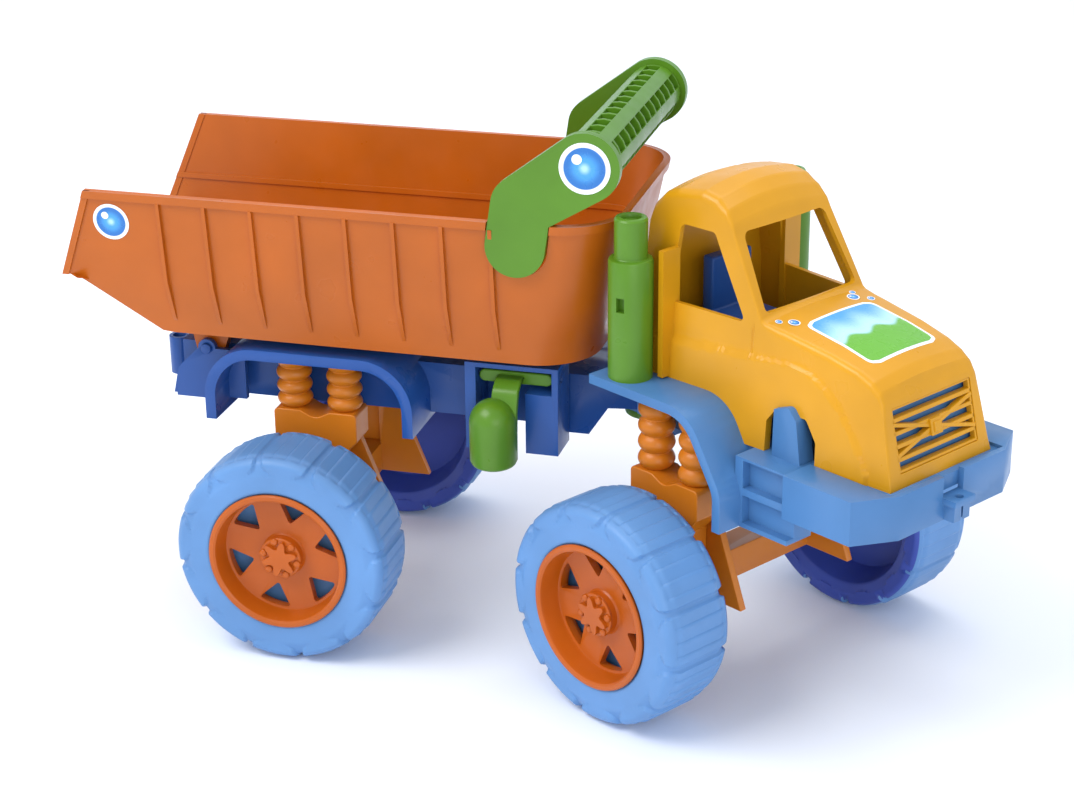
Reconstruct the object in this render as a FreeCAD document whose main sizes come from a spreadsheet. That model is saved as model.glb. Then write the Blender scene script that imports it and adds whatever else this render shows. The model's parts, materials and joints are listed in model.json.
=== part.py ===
"""Articulated toy dump truck: rear unit with tipping bed, front unit with cab, joined by an upright pin.

Everything is in millimetres. The rear unit is drawn with +X forward, +Y left, +Z up, the rear axle over
X = 0 and the ground at Z = 0. The front unit is drawn in the same way with its origin at the articulation pin,
and is then turned about that pin. At the very end the whole truck is moved so that the origin is under its
middle.
"""

import FreeCAD
import Part
import Sketcher
import math
import os
import re

V = FreeCAD.Vector
X_AXIS, Y_AXIS, Z_AXIS = V(1, 0, 0), V(0, 1, 0), V(0, 0, 1)
SIDES = {"right": -1, "left": 1}

doc = FreeCAD.newDocument("DumpTruck")

# --------------------------------------------------------------------------------------------------
# Driving dimensions
# --------------------------------------------------------------------------------------------------

SIZES = {
    "Whole truck": {
        "pin_x": 208,            # rear axle to articulation pin
        "front_axle_u": 83,      # articulation pin to front axle
        "turn_angle": -32,       # how far the front unit stands turned to the right
    },
    "Wheels": {
        "tyre_radius": 70,
        "tyre_width": 50,
        "tyre_shoulder": 9,      # width of the sloping shoulder
        "tyre_drop": 5,          # how far the shoulder falls from the tread
        "side_fall": 2,          # how far the outer edge lies behind the side
        "seat_width": 4,         # flat ring of the side next to the rim
        "dish_margin": 6,        # the inner dish is wider than the rim by this
        "dish_flare": 13,
        "dish_lip": 3,
        "track_inner": 86,       # centre line to the tyre's inner face
        "rim_radius": 44,
        "rim_proud": 2,          # lip of the rim beyond the tyre's side
        "rim_wall": 5,
        "lip_width": 4,
        "dish_draft": 1.5,
        "web_inner": 24,         # dish depth behind the web
        "web_wall": 3,
        "spoke_wall": 5,
        "spoke_depth": 6,        # from the web to the back of the spokes
        "window_inner": 24,      # radius of a window's narrow end
        "window_outer": 37,      # radius of a window's wide end
        "window_half": 9,        # half of the wide end
        "window_count": 6,
        "boss_radius": 13,
        "boss_height": 7,
        "boss_inset": 2,         # the boss ends this far behind the axle's end
        "boss_draft": 1,
        "cap_inset": 1,          # the cap ends this far behind the tyre's side
        "cap_disc_radius": 11,
        "cap_wall": 3,
        "lobe_radius": 3.4,
        "lobe_circle": 10,
        "lobe_count": 6,
        "hub_radius": 10,
        "axle_radius": 4,
        "running_gap": 0.08,
        "side_gap": 0.5,         # end play between turning faces
        "hub_short": 3,          # the hub tube ends this far behind the axle's end
        "clip_radius": 8,
        "clip_room": 0.8,
        "clip_thick": 1.6,
    },
    "Axle beams and springs": {
        "beam_half": 10,         # half of the square beam
        "rear_saddle_y": 50,     # centre line to the middle of a saddle
        "front_saddle_y": 63,
        "saddle_width": 23,
        "saddle_length": 56,
        "saddle_low": 118,
        "saddle_top": 141,
        "pedestal_length": 30,
        "spring_pitch": 34,
        "spring_neck": 8.5,
        "coil_ring": 7.6,
        "coil_round": 3.9,
        "coil_count": 4,
        "front_spring_top": 184,
        "gusset_reach": 34,
        "gusset_tip": 6,
        "gusset_low_by": 10,     # a gusset ends this far below the saddle's top
        "gusset_wall": 5,
    },
    "Rear chassis": {
        "beam_rear": -100,
        "beam_width": 72,
        "beam_low": 138,
        "beam_top": 172,
        "wall": 3,
        "fender_half": 70,       # axle to a fender's end
        "fender_out": 73,        # centre line to a fender's edge
        "fender_top": 184,
        "fender_low": 134,
        "fender_round": 34,
        "fender_wall": 7,
        "tongue_start": 155,
        "tongue_half": 33,
        "tongue_low": 150,
        "tongue_step_x": 174,
        "tongue_step_z": 132,
        "eye_radius": 27,
        "yoke_room": 2,          # the tongue's slope ends this far behind the yoke
        "plate_y": 50,           # centre line to the outside of a hinge plate
        "plate_wall": 4,
        "plate_front": 26,       # how far a hinge plate reaches in front of the hinge
        "plate_shoulder": 6,
        "plate_drop": 15,
        "plate_round": 14,
        "boss_round": 6,         # radius of the boss round the hinge pin
        "bridge_length": 30,
        "hitch_x": -119,
        "hitch_radius": 7,
        "hitch_bore": 4.5,
        "hitch_low": 134,
        "hitch_top": 160,
    },
    "Bed hinge": {
        "hinge_x": -77,
        "hinge_z": 173,
        "hinge_pin_radius": 3.5,
        "pin_end": 2,            # the pin stands out of a plate by this
        "lug_radius": 8,
        "lug_wall": 7,
        "lug_room": 2,           # room round a lug in the beam
        "lug_y": 41,             # centre line to the middle of a lug
    },
    "Dump bed": {
        "rim_z": 288,
        "bend_z": 230,
        "floor_z": 192,
        "rim_half": 91,
        "bend_half": 84,
        "floor_half": 74,
        "front_rim_x": 203,
        "front_bend_x": 192,
        "front_floor_x": 183,
        "front_round": 38,
        "tail_rim_x": -134,
        "tail_x": -157,
        "tail_z": 236,
        "tail_lip_z": 228,
        "tail_floor_x": -94,
        "bed_wall": 3,
        "rib_first": -86,
        "rib_pitch": 30.5,
        "rib_count": 8,
        "rib_wide": 2.4,
        "rib_proud": 2,
        "rim_flange": 5,
        "rail_low": 187,
        "rail_rear": -60,
        "rail_length": 160,
        "rail_y": 55,
        "rail_wall": 5,
        "lug_foot_rear": 14,
        "lug_foot_front": 18,
        "tail_step": 11,
    },
    "Handle": {
        "arm_x": 144,
        "arm_z": 273,
        "elbow_x": 148,
        "elbow_z": 299,
        "grip_x": 187,
        "grip_z": 325,
        "arm_radius": 18.5,
        "disc_radius": 21,
        "arm_wall": 6,
        "arm_gap": 0.4,
        "arm_y": 92,             # centre line to the outside of an arm
        "grip_radius": 17.5,
        "grip_wall": 3,
        "pocket_size": 9,
        "pocket_pitch": 14,
        "pocket_count": 11,
        "pocket_turn": 35,       # how far a row of pockets is turned up from the front
    },
    "Lever": {
        "bracket_rear": 102,
        "bracket_front": 162,
        "bracket_out": 63,
        "bracket_top": 186,
        "bracket_low": 128,
        "cheek_rear": 7,
        "cheek_front": 21,
        "cheek_skin": 4,         # what the slot leaves of the front cheek
        "slot_depth": 18,
        "bar_room": 3,
        "lever_y": -54,
        "lever_z": 176,
        "lever_pivot_radius": 4,
        "lever_x": 124,
        "knob_radius": 15,
        "knob_y": -76,
        "knob_low": 124,
        "knob_top": 168,
        "arm_plate": 4,
        "arm_edge": 2,
    },
    "Front chassis": {
        "deck_rear": 36,
        "deck_front": 236,
        "deck_half": 50,
        "deck_low": 162,
        "deck_top": 171,
        "arch_rear": 30,
        "arch_top": 196,
        "arch_shoulder_u": 112,
        "arch_front": 139,
        "arch_knee_z": 152,
        "arch_low": 127,
        "arch_out": 85,
        "arch_wall": 6,
        "arch_round": 30,
        "yoke_half": 20,
        "yoke_wall": 5,
        "yoke_gap": 0.4,
        "yoke_web": 12,
        "pin_radius": 8,
        "pin_head": 18,
        "head_wall": 6,
        "pin_tip": 3,
        "side_panel_out": 68,
        "panel_lap": 4,
        "cell_depth": 6,
        "block_rear": 146,
        "block_front": 175,
        "block_top": 204,
        "block_lean": 3,
        "block_bevel": 7,
        "block_round": 4,
        "block_inside": 9,       # width of a block inside the deck's side
        "block_outside": 3,      # and outside it
    },
    "Bumper": {
        "bumper_rear": 176,
        "bumper_corner_u": 226,
        "bumper_front": 240,
        "bumper_half": 73,
        "bumper_nose": 47,
        "bumper_low": 146,
        "bumper_top": 173,
        "bumper_wall": 4,
        "ear_reach": 9,
        "ear_half": 9,
        "ear_z": 156,
        "ear_wall": 4,
        "ear_step": 2,
        "ear_bore": 2.6,
    },
    "Cab": {
        "cab_rear": 42,
        "cab_front": 231,
        "cab_wall": 3,
        "cab_low_rear_half": 55,
        "cab_low_front_half": 45,
        "cab_sill_z": 243,
        "cab_sill_rear_half": 52,
        "cab_sill_front_half": 38,
        "cab_top_rear_half": 42,
        "cab_top_front_half": 33,
        "roof_z": 312,
        "roof_rear_z": 298,
        "roof_crown_u": 76,
        "roof_rear_round": 10,
        "roof_round": 30,
        "visor_round": 8,
        "nose_round": 18,
        "brow_round": 6,
        "roof_front_u": 104,
        "roof_front_z": 294,
        "cowl_u": 132,
        "cowl_z": 246,
        "nose_u": 205,
        "nose_z": 234,
        "brow_u": 219,
        "brow_z": 220,
        "window_low_rear": 62,
        "window_low_front": 120,
        "window_top_rear": 65,
        "window_top_front": 90,
        "window_top_z": 289,
        "window_round": 3,
        "screen_top_wall": 4,
        "notch_room": 3,
        "arch_clear": 0.3,
        "screen_low_half": 36,
        "screen_top_half": 31,
        "grille_half": 35,
        "grille_low": 179,
        "grille_top": 216,
        "slat_count": 4,
        "slat_tall": 3.2,
        "slat_wall": 4,
        "grille_fit": 0.1,
        "grille_edge": 1.5,
        "grille_boss": 9,
        "grille_set_back": 0.3,
        "cross_rise": 0.55,      # rise of a crossed bar, as a part of the grille's height
        "seat_u": 62,
        "seat_half": 17,
        "seat_back_top": 262,
        "seat_back": 9,
        "seat_length": 32,
        "seat_cushion": 24,
        "insert_half": 35,
        "insert_floor": 30,
        "insert_rear": 14,
        "dash_wall": 5,
        "radiator_drop": 8,
    },
    "Stacks": {
        "stack_u": 49,
        "stack_y": 69,
        "stack_radius": 13.5,
        "stack_top_radius": 10,
        "stack_step": 271,
        "stack_top": 296,
        "stack_edge": 1.5,
    },
}

sheet = doc.addObject("Spreadsheet::Sheet", "Sizes")
row = 1
for group, cells in SIZES.items():
    sheet.set(f"A{row}", group)
    row += 1
    for alias, value in cells.items():
        sheet.set(f"A{row}", alias.replace("_", " "))
        sheet.set(f"B{row}", str(value))
        sheet.setAlias(f"B{row}", alias)
        row += 1
doc.recompute()


def size(alias):
    """The value of one cell of the sheet."""
    return float(getattr(sheet, alias))


def formula(text):
    """A formula of plain aliases, such as "tyre_radius + 2", as the sheet's expressions want it."""
    return re.sub(r"[a-z][a-z0-9_]*", lambda word: "Sizes." + word.group(), str(text))


def number(text):
    """The value of a formula of plain aliases."""
    return float(sheet.evalExpression(formula(text)))


# --------------------------------------------------------------------------------------------------
# Building helpers: primitives bound to the sheet
# --------------------------------------------------------------------------------------------------

def bind(thing, **formulas):
    """Tie properties of an object to formulas over the sheet."""
    for prop, text in formulas.items():
        thing.setExpression(prop, formula(text))
    return thing


def at(thing, x, y, z):
    """Tie the place of an object to three formulas."""
    for letter, text in zip("xyz", (x, y, z)):
        thing.setExpression(f".Placement.Base.{letter}", formula(text))
    return thing


def block(name, x, y, z):
    """A box between the (low, high) pairs of formulas x, y and z."""
    thing = doc.addObject("Part::Box", name)
    bind(thing, Length=f"({x[1]}) - ({x[0]})", Width=f"({y[1]}) - ({y[0]})", Height=f"({z[1]}) - ({z[0]})")
    return at(thing, x[0], y[0], z[0])


def rod(name, radius, length, start, direction=Z_AXIS):
    """A cylinder from the point start along direction."""
    thing = doc.addObject("Part::Cylinder", name)
    bind(thing, Radius=radius, Height=length)
    thing.Placement.Rotation = FreeCAD.Rotation(Z_AXIS, direction)
    return at(thing, *start)


def fused(name, pieces):
    thing = doc.addObject("Part::MultiFuse", name)
    thing.Shapes = pieces
    thing.Refine = True
    return thing


def cut(name, base, tool):
    thing = doc.addObject("Part::Cut", name)
    thing.Base = base
    thing.Tool = tool
    thing.Refine = True
    return thing


def set_shape(name, shape):
    """A sub-part whose shape no primitive or body can give."""
    thing = doc.addObject("Part::Feature", name)
    thing.Shape = shape
    return thing


def origin_plane(body, role):
    return next(feature for feature in body.Origin.OriginFeatures if feature.Role == role)


def outline(body, name, corners, plane="XZ_Plane"):
    """A closed, fully fixed sketch through corners, each a pair of formulas."""
    sketch = body.newObject("Sketcher::SketchObject", name)
    sketch.AttachmentSupport = [(origin_plane(body, plane), "")]
    sketch.MapMode = "FlatFace"
    points = [V(number(across), number(up), 0) for across, up in corners]
    count = len(points)
    for index, point in enumerate(points):
        sketch.addGeometry(Part.LineSegment(point, points[(index + 1) % count]), False)
    for index in range(count):
        sketch.addConstraint(Sketcher.Constraint("Coincident", index, 2, (index + 1) % count, 1))
    for index, (across, up) in enumerate(corners):
        for kind, text, value in (("DistanceX", across, points[index].x), ("DistanceY", up, points[index].y)):
            place = sketch.addConstraint(Sketcher.Constraint(kind, -1, 1, index, 1, value))
            sketch.setExpression(f"Constraints[{place}]", formula(text))
    return sketch


def turned_body(name, corners):
    """A body turned about its own Z axis from corners of (radius, height)."""
    body = doc.addObject("PartDesign::Body", name)
    sketch = outline(body, name + "_section", corners)
    turn = body.newObject("PartDesign::Revolution", name + "_turn")
    turn.Profile = (sketch, [""])
    turn.ReferenceAxis = (sketch, ["V_Axis"])
    turn.Angle = 360
    body.Tip = turn
    return body


def ring_of(body, name, feature, count):
    """Repeat a body's last feature about its Z axis."""
    pattern = body.newObject("PartDesign::PolarPattern", name)
    pattern.Originals = [feature]
    pattern.Axis = (next(f for f in body.Origin.OriginFeatures if f.Role == "Z_Axis"), [""])
    pattern.Angle = 360
    pattern.setExpression("Occurrences", formula(count))
    body.Tip = pattern
    return pattern


def profile_face(corners, rounds):
    """A face in the XZ plane through corners (x, z), with round corners where rounds gives a radius."""
    points = [V(x, 0, z) for x, z in corners]
    count = len(points)
    edges, ends = [], []
    for index, point in enumerate(points):
        radius = rounds.get(index, 0)
        before, after = points[index - 1] - point, points[(index + 1) % count] - point
        before.normalize()
        after.normalize()
        if radius == 0:
            ends.append((point, point))
            continue
        half = before.getAngle(after) / 2
        reach = radius / math.tan(half)
        middle = (before + after).normalize() * (radius / math.sin(half) - radius)
        first, last = point + before * reach, point + after * reach
        edges.append(Part.Arc(first, point + middle, last).toShape())
        ends.append((first, last))
    for index in range(count):
        start, finish = ends[index][1], ends[(index + 1) % count][0]
        edges.append(Part.LineSegment(start, finish).toShape())
    return Part.Face(Part.Wire(Part.__sortEdges__(edges)))


def across(face, low, high):
    """The solid of an XZ face between two values of Y."""
    return face.translated(V(0, low, 0)).extrude(V(0, high - low, 0))


# The finished sub-parts, by unit: each is exported under its own name.
rear_unit, front_unit = [], []


def finish(unit, thing, node):
    thing.Label = node
    unit.append(thing)
    return thing


# --------------------------------------------------------------------------------------------------
# Wheels: a blue moulding of tyre, web and hub tube, an orange rim pressed into it, and a lobed cap
# --------------------------------------------------------------------------------------------------

def tyre(name):
    bore = "axle_radius + running_gap"
    hub_end = "tyre_width - boss_height - hub_short"
    return turned_body(name, [
        (bore, 0), ("hub_radius", 0), ("hub_radius", "web_inner"), ("rim_radius + dish_margin", "web_inner"),
        ("rim_radius + dish_flare", "dish_lip"), ("rim_radius + dish_flare + dish_lip", 0),
        ("tyre_radius - tyre_drop", "side_fall"), ("tyre_radius", "tyre_shoulder"),
        ("tyre_radius", "tyre_width - tyre_shoulder"), ("tyre_radius - tyre_drop", "tyre_width - side_fall"),
        ("rim_radius + seat_width", "tyre_width"), ("rim_radius", "tyre_width - side_fall"),
        ("rim_radius", "web_inner + web_wall"), ("hub_radius", "web_inner + web_wall"),
        ("hub_radius", hub_end), (bore, hub_end)])


boss_end = "tyre_width - boss_height - boss_inset"


def rim(name):
    """The dished rim: a ring in the tyre's seat, a spoked plate with windows, and a boss round the hub."""
    web = "web_inner + web_wall"
    spoke_low = web + " + spoke_depth"
    spoke_high = spoke_low + " + spoke_wall"
    lip = "tyre_width + rim_proud"
    body = turned_body(name, [
        ("hub_radius", spoke_low), ("rim_radius - rim_wall", spoke_low), ("rim_radius - rim_wall", web),
        ("rim_radius", web), ("rim_radius", lip), ("rim_radius - lip_width", lip),
        ("rim_radius - rim_wall - dish_draft", spoke_high), ("boss_radius + boss_draft", spoke_high),
        ("boss_radius", boss_end), ("hub_radius", boss_end)])
    window = outline(body, name + "_window_outline", [
        ("window_inner", 0), ("window_outer", "-window_half"), ("window_outer", "window_half")], "XY_Plane")
    pocket = body.newObject("PartDesign::Pocket", name + "_window")
    pocket.Profile = (window, [""])
    pocket.Type = "ThroughAll"
    pocket.Reversed = True
    ring_of(body, name + "_windows", pocket, "window_count")
    return body


def hub_cap(name):
    """Lobed cap over the axle's end: a cup that stands on the rim's boss."""
    tall = f"(tyre_width - cap_inset) - ({boss_end})"
    pieces = [rod(name + "_disc", "cap_disc_radius", tall, (0, 0, boss_end))]
    count = int(size("lobe_count"))
    for index in range(count):
        angle = 2 * math.pi * index / count
        place = (f"lobe_circle * {math.cos(angle):.6f}", f"lobe_circle * {math.sin(angle):.6f}", boss_end)
        pieces.append(rod(f"{name}_lobe_{index}", "lobe_radius", tall, place))
    hollow = rod(name + "_hollow", "clip_radius + clip_room", f"{tall} - cap_wall", (0, 0, boss_end))
    return cut(name, fused(name + "_solid", pieces), hollow)


def wheel_place(u, side):
    """A wheel's own Z axis points outwards, and its inner face stands on the track."""
    outwards = FreeCAD.Rotation(Z_AXIS, Y_AXIS * side)
    return FreeCAD.Placement(V(u, side * size("track_inner"), size("tyre_radius")), outwards)


for end, unit, axle_u in (("rear", rear_unit, 0), ("front", front_unit, size("front_axle_u"))):
    for side_name, side in SIDES.items():
        for kind, make in (("tyre", tyre), ("rim", rim), ("hub_cap", hub_cap)):
            node = f"{end}_{side_name}_{kind}"
            finish(unit, make(node), node).Placement = wheel_place(axle_u, side)

# --------------------------------------------------------------------------------------------------
# Axles, axle beams and the moulded spring columns
# --------------------------------------------------------------------------------------------------

def axle(end, u):
    """Steel axle through the beam and both wheels."""
    reach = "(track_inner + tyre_width - boss_height)"
    return rod(f"{end}_axle", "axle_radius", f"2 * {reach}", (u, f"-{reach}", "tyre_radius"), Y_AXIS)


def axle_clips(end, u):
    """Spring clips on the axle's two ends, inside the caps."""
    clips = []
    for side_name, side in SIDES.items():
        out = "track_inner + tyre_width - boss_height - hub_short + side_gap"
        start = (u, f"{side} * ({out})", "tyre_radius")
        disc = rod(f"{end}_{side_name}_clip_disc", "clip_radius", "clip_thick", start, Y_AXIS * side)
        hole = rod(f"{end}_{side_name}_clip_hole", "axle_radius", "clip_thick", start, Y_AXIS * side)
        clips.append(cut(f"{end}_{side_name}_clip", disc, hole))
    pair = doc.addObject("Part::Compound", f"{end}_axle_clip_pair")
    pair.Links = clips
    return pair


def axle_beam(end, u):
    """Square beam between the wheels with a gusset fin on each side, in front of the pedestal."""
    reach = "(track_inner - side_gap)"
    beam = block(f"{end}_beam_bar", (f"{u} - beam_half", f"{u} + beam_half"), (f"-{reach}", reach),
                 ("tyre_radius - beam_half", "tyre_radius + beam_half"))
    start = (u, f"-{reach}", "tyre_radius")
    bore = rod(f"{end}_beam_bore", "axle_radius + running_gap", f"2 * {reach}", start, Y_AXIS)
    pieces = [beam]
    for side_name, side in SIDES.items():
        fin = doc.addObject("Part::Wedge", f"{end}_{side_name}_gusset")
        inner = f"({end}_saddle_y - saddle_width / 2 - gusset_wall)"
        bind(fin, Xmin=f"{u} + beam_half - 1", Xmax=f"{u} + beam_half + gusset_reach",
             Ymin="tyre_radius - beam_half", Ymax="saddle_top - gusset_low_by", Zmin=0, Zmax="gusset_wall",
             X2min=f"{u} + beam_half - 1", X2max=f"{u} + beam_half + gusset_tip",
             Z2min=0, Z2max="gusset_wall")
        fin.Placement.Rotation = FreeCAD.Rotation(X_AXIS, 90)
        low = f"{side} * {inner}" if side > 0 else f"-{inner} - gusset_wall"
        pieces.append(at(fin, 0, f"{low} + gusset_wall", 0))
    return cut(f"{end}_beam", fused(f"{end}_beam_solid", pieces), bore)


def spring_block(end, side_name, side, u):
    """Pedestal on the beam, a saddle plate over it, and two moulded columns shaped like coil springs."""
    name = f"{end}_{side_name}_spring"
    middle_y = f"{side} * {end}_saddle_y"
    y = (f"{middle_y} - saddle_width / 2", f"{middle_y} + saddle_width / 2")
    roof = "fender_top - fender_wall" if end == "rear" else "front_spring_top"
    pieces = [
        block(name + "_pedestal", (f"{u} - pedestal_length / 2", f"{u} + pedestal_length / 2"), y,
              ("tyre_radius + beam_half", "saddle_low")),
        block(name + "_saddle", (f"{u} - saddle_length / 2", f"{u} + saddle_length / 2"), y,
              ("saddle_low", "saddle_top"))]
    for place in (-1, 1):
        column_u = f"{u} + {place} * spring_pitch / 2"
        column = f"{name}_{'front' if place > 0 else 'rear'}"
        pieces.append(rod(column + "_neck", "spring_neck", f"{roof} - saddle_top",
                          (column_u, middle_y, "saddle_top")))
        for index in range(int(size("coil_count"))):
            coil = doc.addObject("Part::Torus", f"{column}_coil_{index}")
            bind(coil, Radius1="coil_ring", Radius2="coil_round")
            step = f"({roof} - saddle_top - 2 * coil_round) / (coil_count - 1)"
            at(coil, column_u, middle_y, f"saddle_top + coil_round + {index} * {step}")
            pieces.append(coil)
    return fused(name, pieces)


for end, unit, axle_u in (("rear", rear_unit, "0"), ("front", front_unit, "front_axle_u")):
    finish(unit, axle(end, axle_u), f"{end}_axle_rod")
    finish(unit, axle_clips(end, axle_u), f"{end}_axle_clips")
    finish(unit, axle_beam(end, axle_u), f"{end}_axle_beam")
    for side_name, side in SIDES.items():
        finish(unit, spring_block(end, side_name, side, axle_u), f"{end}_{side_name}_spring_block")

# --------------------------------------------------------------------------------------------------
# Rear chassis: hollow beam, fender arch over both rear wheels, hinge plates, hitch tube and the tongue
# --------------------------------------------------------------------------------------------------

def arch_face(low_x, high_x, low_z, high_z, radius):
    """An arch's outer outline: upright sides and round shoulders."""
    corners = [(low_x, low_z), (low_x, high_z), (high_x, high_z), (high_x, low_z)]
    return profile_face(corners, {1: radius, 2: radius})


def hollow_beam():
    """The chassis beam: a box open underneath."""
    rear, front, half = size("beam_rear"), size("tongue_start"), size("beam_width") / 2
    wall, low, top = size("wall"), size("beam_low"), size("beam_top")
    outer = Part.makeBox(front - rear, 2 * half, top - low, V(rear, -half, low))
    hollow = Part.makeBox(front - rear - 2 * wall, 2 * (half - wall), top - low - wall,
                          V(rear + wall, wall - half, low))
    return outer.cut(hollow)


def rear_arch():
    """One band over both rear wheels and the springs."""
    reach, out, wall = size("fender_half"), size("fender_out"), size("fender_wall")
    low, top, radius = size("fender_low"), size("fender_top"), size("fender_round")
    shell = across(arch_face(-reach, reach, low, top, radius), -out, out)
    inside = arch_face(wall - reach, reach - wall, low - 1, top - wall, radius - wall)
    return shell.cut(across(inside, -out - 1, out + 1))


def tongue():
    """The beam's front end: deep at first, sloping up to the eye, and narrowing towards it in plan."""
    half, pin_x, eye = size("tongue_half"), size("pin_x"), size("eye_radius")
    start, step_x, step_z = size("tongue_start"), size("tongue_step_x"), size("tongue_step_z")
    low, top = size("tongue_low"), size("beam_top")
    slope_end = pin_x - size("yoke_half") - size("yoke_room")
    side_view = profile_face([(start, step_z), (step_x, step_z), (slope_end, low), (pin_x, low), (pin_x, top),
                              (start, top)], {})
    corners = [V(start - 1, -half, step_z), V(step_x, -half, step_z), V(pin_x, -eye, step_z),
               V(pin_x, eye, step_z), V(step_x, half, step_z), V(start - 1, half, step_z)]
    plan = Part.Face(Part.makePolygon(corners + corners[:1]))
    solid = across(side_view, -half, half).common(plan.extrude(V(0, 0, top - step_z)))
    return solid.fuse(Part.makeCylinder(eye, top - low, V(pin_x, 0, low)))


def hinge_plates():
    """On each side a plate beside the beam, its boss round the hinge pin, and a bridge to the beam."""
    rear, half, low, wall = size("beam_rear"), size("beam_width") / 2, size("beam_low"), size("wall")
    out, plate_wall, hinge_x, hinge_z = size("plate_y"), size("plate_wall"), size("hinge_x"), size("hinge_z")
    front, base = hinge_x + size("plate_front"), low + 2
    plate = profile_face([(rear - 2, base), (rear + 2, hinge_z - size("plate_drop")),
                          (hinge_x - size("plate_shoulder"), hinge_z), (front, hinge_z), (front, base)],
                         {1: size("plate_round"), 2: size("plate_round") / 2})
    pieces = []
    for side in SIDES.values():
        first = side * out if side < 0 else out - plate_wall
        pieces.append(across(plate, first, first + plate_wall))
        pieces.append(Part.makeCylinder(size("boss_round"), plate_wall, V(hinge_x, first, hinge_z), Y_AXIS))
        pieces.append(Part.makeBox(size("bridge_length"), out - half + 1, wall,
                                   V(rear, half - 1 if side > 0 else -out, low)))
    return pieces


def hitch():
    """An upright tube open at both ends, a tab under it, and the web that joins the tab to the beam."""
    hitch_x, radius, rear = size("hitch_x"), size("hitch_radius"), size("beam_rear")
    low, wall = size("hitch_low"), size("wall")
    tube = Part.makeCylinder(radius, size("hitch_top") - low, V(hitch_x, 0, low))
    tab = Part.makeBox(rear - hitch_x + wall, 2 * radius, 2 * wall, V(hitch_x, -radius, low))
    web = Part.makeBox(wall, 2 * radius, size("beam_low") - low + 2 * wall, V(rear, -radius, low))
    return [tube, tab, web]


def rear_chassis():
    pin_x, hinge_x, hinge_z = size("pin_x"), size("hinge_x"), size("hinge_z")
    shape = hollow_beam().fuse([rear_arch(), tongue(), *hinge_plates(), *hitch()])
    out, gap, lug_wall = size("plate_y"), size("side_gap"), size("lug_wall")
    low, top = size("hitch_low"), size("beam_top")
    holes = [
        Part.makeCylinder(size("hitch_bore"), size("hitch_top") - low, V(size("hitch_x"), 0, low)),
        Part.makeCylinder(size("pin_radius") + size("running_gap"), top, V(pin_x, 0, 0)),
        Part.makeCylinder(size("hinge_pin_radius"), 2 * out, V(hinge_x, -out, hinge_z), Y_AXIS)]
    for side in SIDES.values():
        first = side * size("lug_y") - lug_wall / 2 - gap
        holes.append(Part.makeCylinder(size("lug_radius") + size("lug_room"), lug_wall + 2 * gap,
                                       V(hinge_x, first, hinge_z), Y_AXIS))
    return shape.cut(holes).removeSplitter()


finish(rear_unit, set_shape("rear_chassis_shape", rear_chassis()), "rear_chassis")

# --------------------------------------------------------------------------------------------------
# Lever bracket on the right of the tongue, and the lever that hangs in it
# --------------------------------------------------------------------------------------------------

beam_side = "beam_width / 2"


def lever_bracket():
    y = ("-bracket_out", f"-{beam_side}")
    z = ("bracket_low", "bracket_top")
    under_roof = "lever_z + lever_pivot_radius + bar_room"
    front_cheek = "bracket_front - cheek_front"
    solid = fused("bracket_solid", [
        block("bracket_roof", ("bracket_rear", "bracket_front"), y, (under_roof, "bracket_top")),
        block("bracket_rear_cheek", ("bracket_rear", "bracket_rear + cheek_rear"), y, z),
        block("bracket_front_cheek", (front_cheek, "bracket_front"), y, z)])
    slot = block("bracket_slot", (f"{front_cheek} - 1", "bracket_front - cheek_skin"),
                 ("-bracket_out - 1", "-bracket_out + slot_depth"),
                 ("lever_z - lever_pivot_radius - bar_room - 1", under_roof))
    bore = rod("bracket_bore", "lever_pivot_radius / 2 + running_gap", "bracket_front - bracket_rear + 2",
               ("bracket_rear - 1", "lever_y", "lever_z"), X_AXIS)
    return cut("bracket", cut("bracket_cheeks", solid, slot), bore)


def lever():
    """Cross bar on two stub pivots, a flat arm, and a domed grip that hangs outside the bracket."""
    rear, front = "bracket_rear + cheek_rear + side_gap", "bracket_front - cheek_skin - side_gap"
    half = "knob_radius - arm_edge"
    bar = rod("lever_bar", "lever_pivot_radius", f"({front}) - ({rear})", (rear, "lever_y", "lever_z"), X_AXIS)
    stub = rod("lever_stubs", "lever_pivot_radius / 2", "bracket_front - bracket_rear - 2",
               ("bracket_rear + 1", "lever_y", "lever_z"), X_AXIS)
    arm = block("lever_arm", (f"lever_x - ({half})", f"lever_x + {half}"), ("knob_y", "lever_y"),
                ("lever_z - arm_plate", "lever_z"))
    fin = block("lever_fin", ("lever_x - arm_plate / 2", "lever_x + arm_plate / 2"),
                ("knob_y", "lever_y - 2"), ("knob_low + knob_radius / 2", "lever_z"))
    knob = rod("lever_knob", "knob_radius", "knob_top - knob_radius - knob_low",
               ("lever_x", "knob_y", "knob_low"))
    dome = doc.addObject("Part::Sphere", "lever_dome")
    bind(dome, Radius="knob_radius")
    at(dome, "lever_x", "knob_y", "knob_top - knob_radius")
    return fused("lever", [bar, stub, arm, fin, knob, dome])


finish(rear_unit, lever_bracket(), "lever_bracket")
finish(rear_unit, lever(), "tipping_lever")

# --------------------------------------------------------------------------------------------------
# Dump bed: an open thin-walled tub whose floor rises to the tail
# --------------------------------------------------------------------------------------------------

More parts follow.
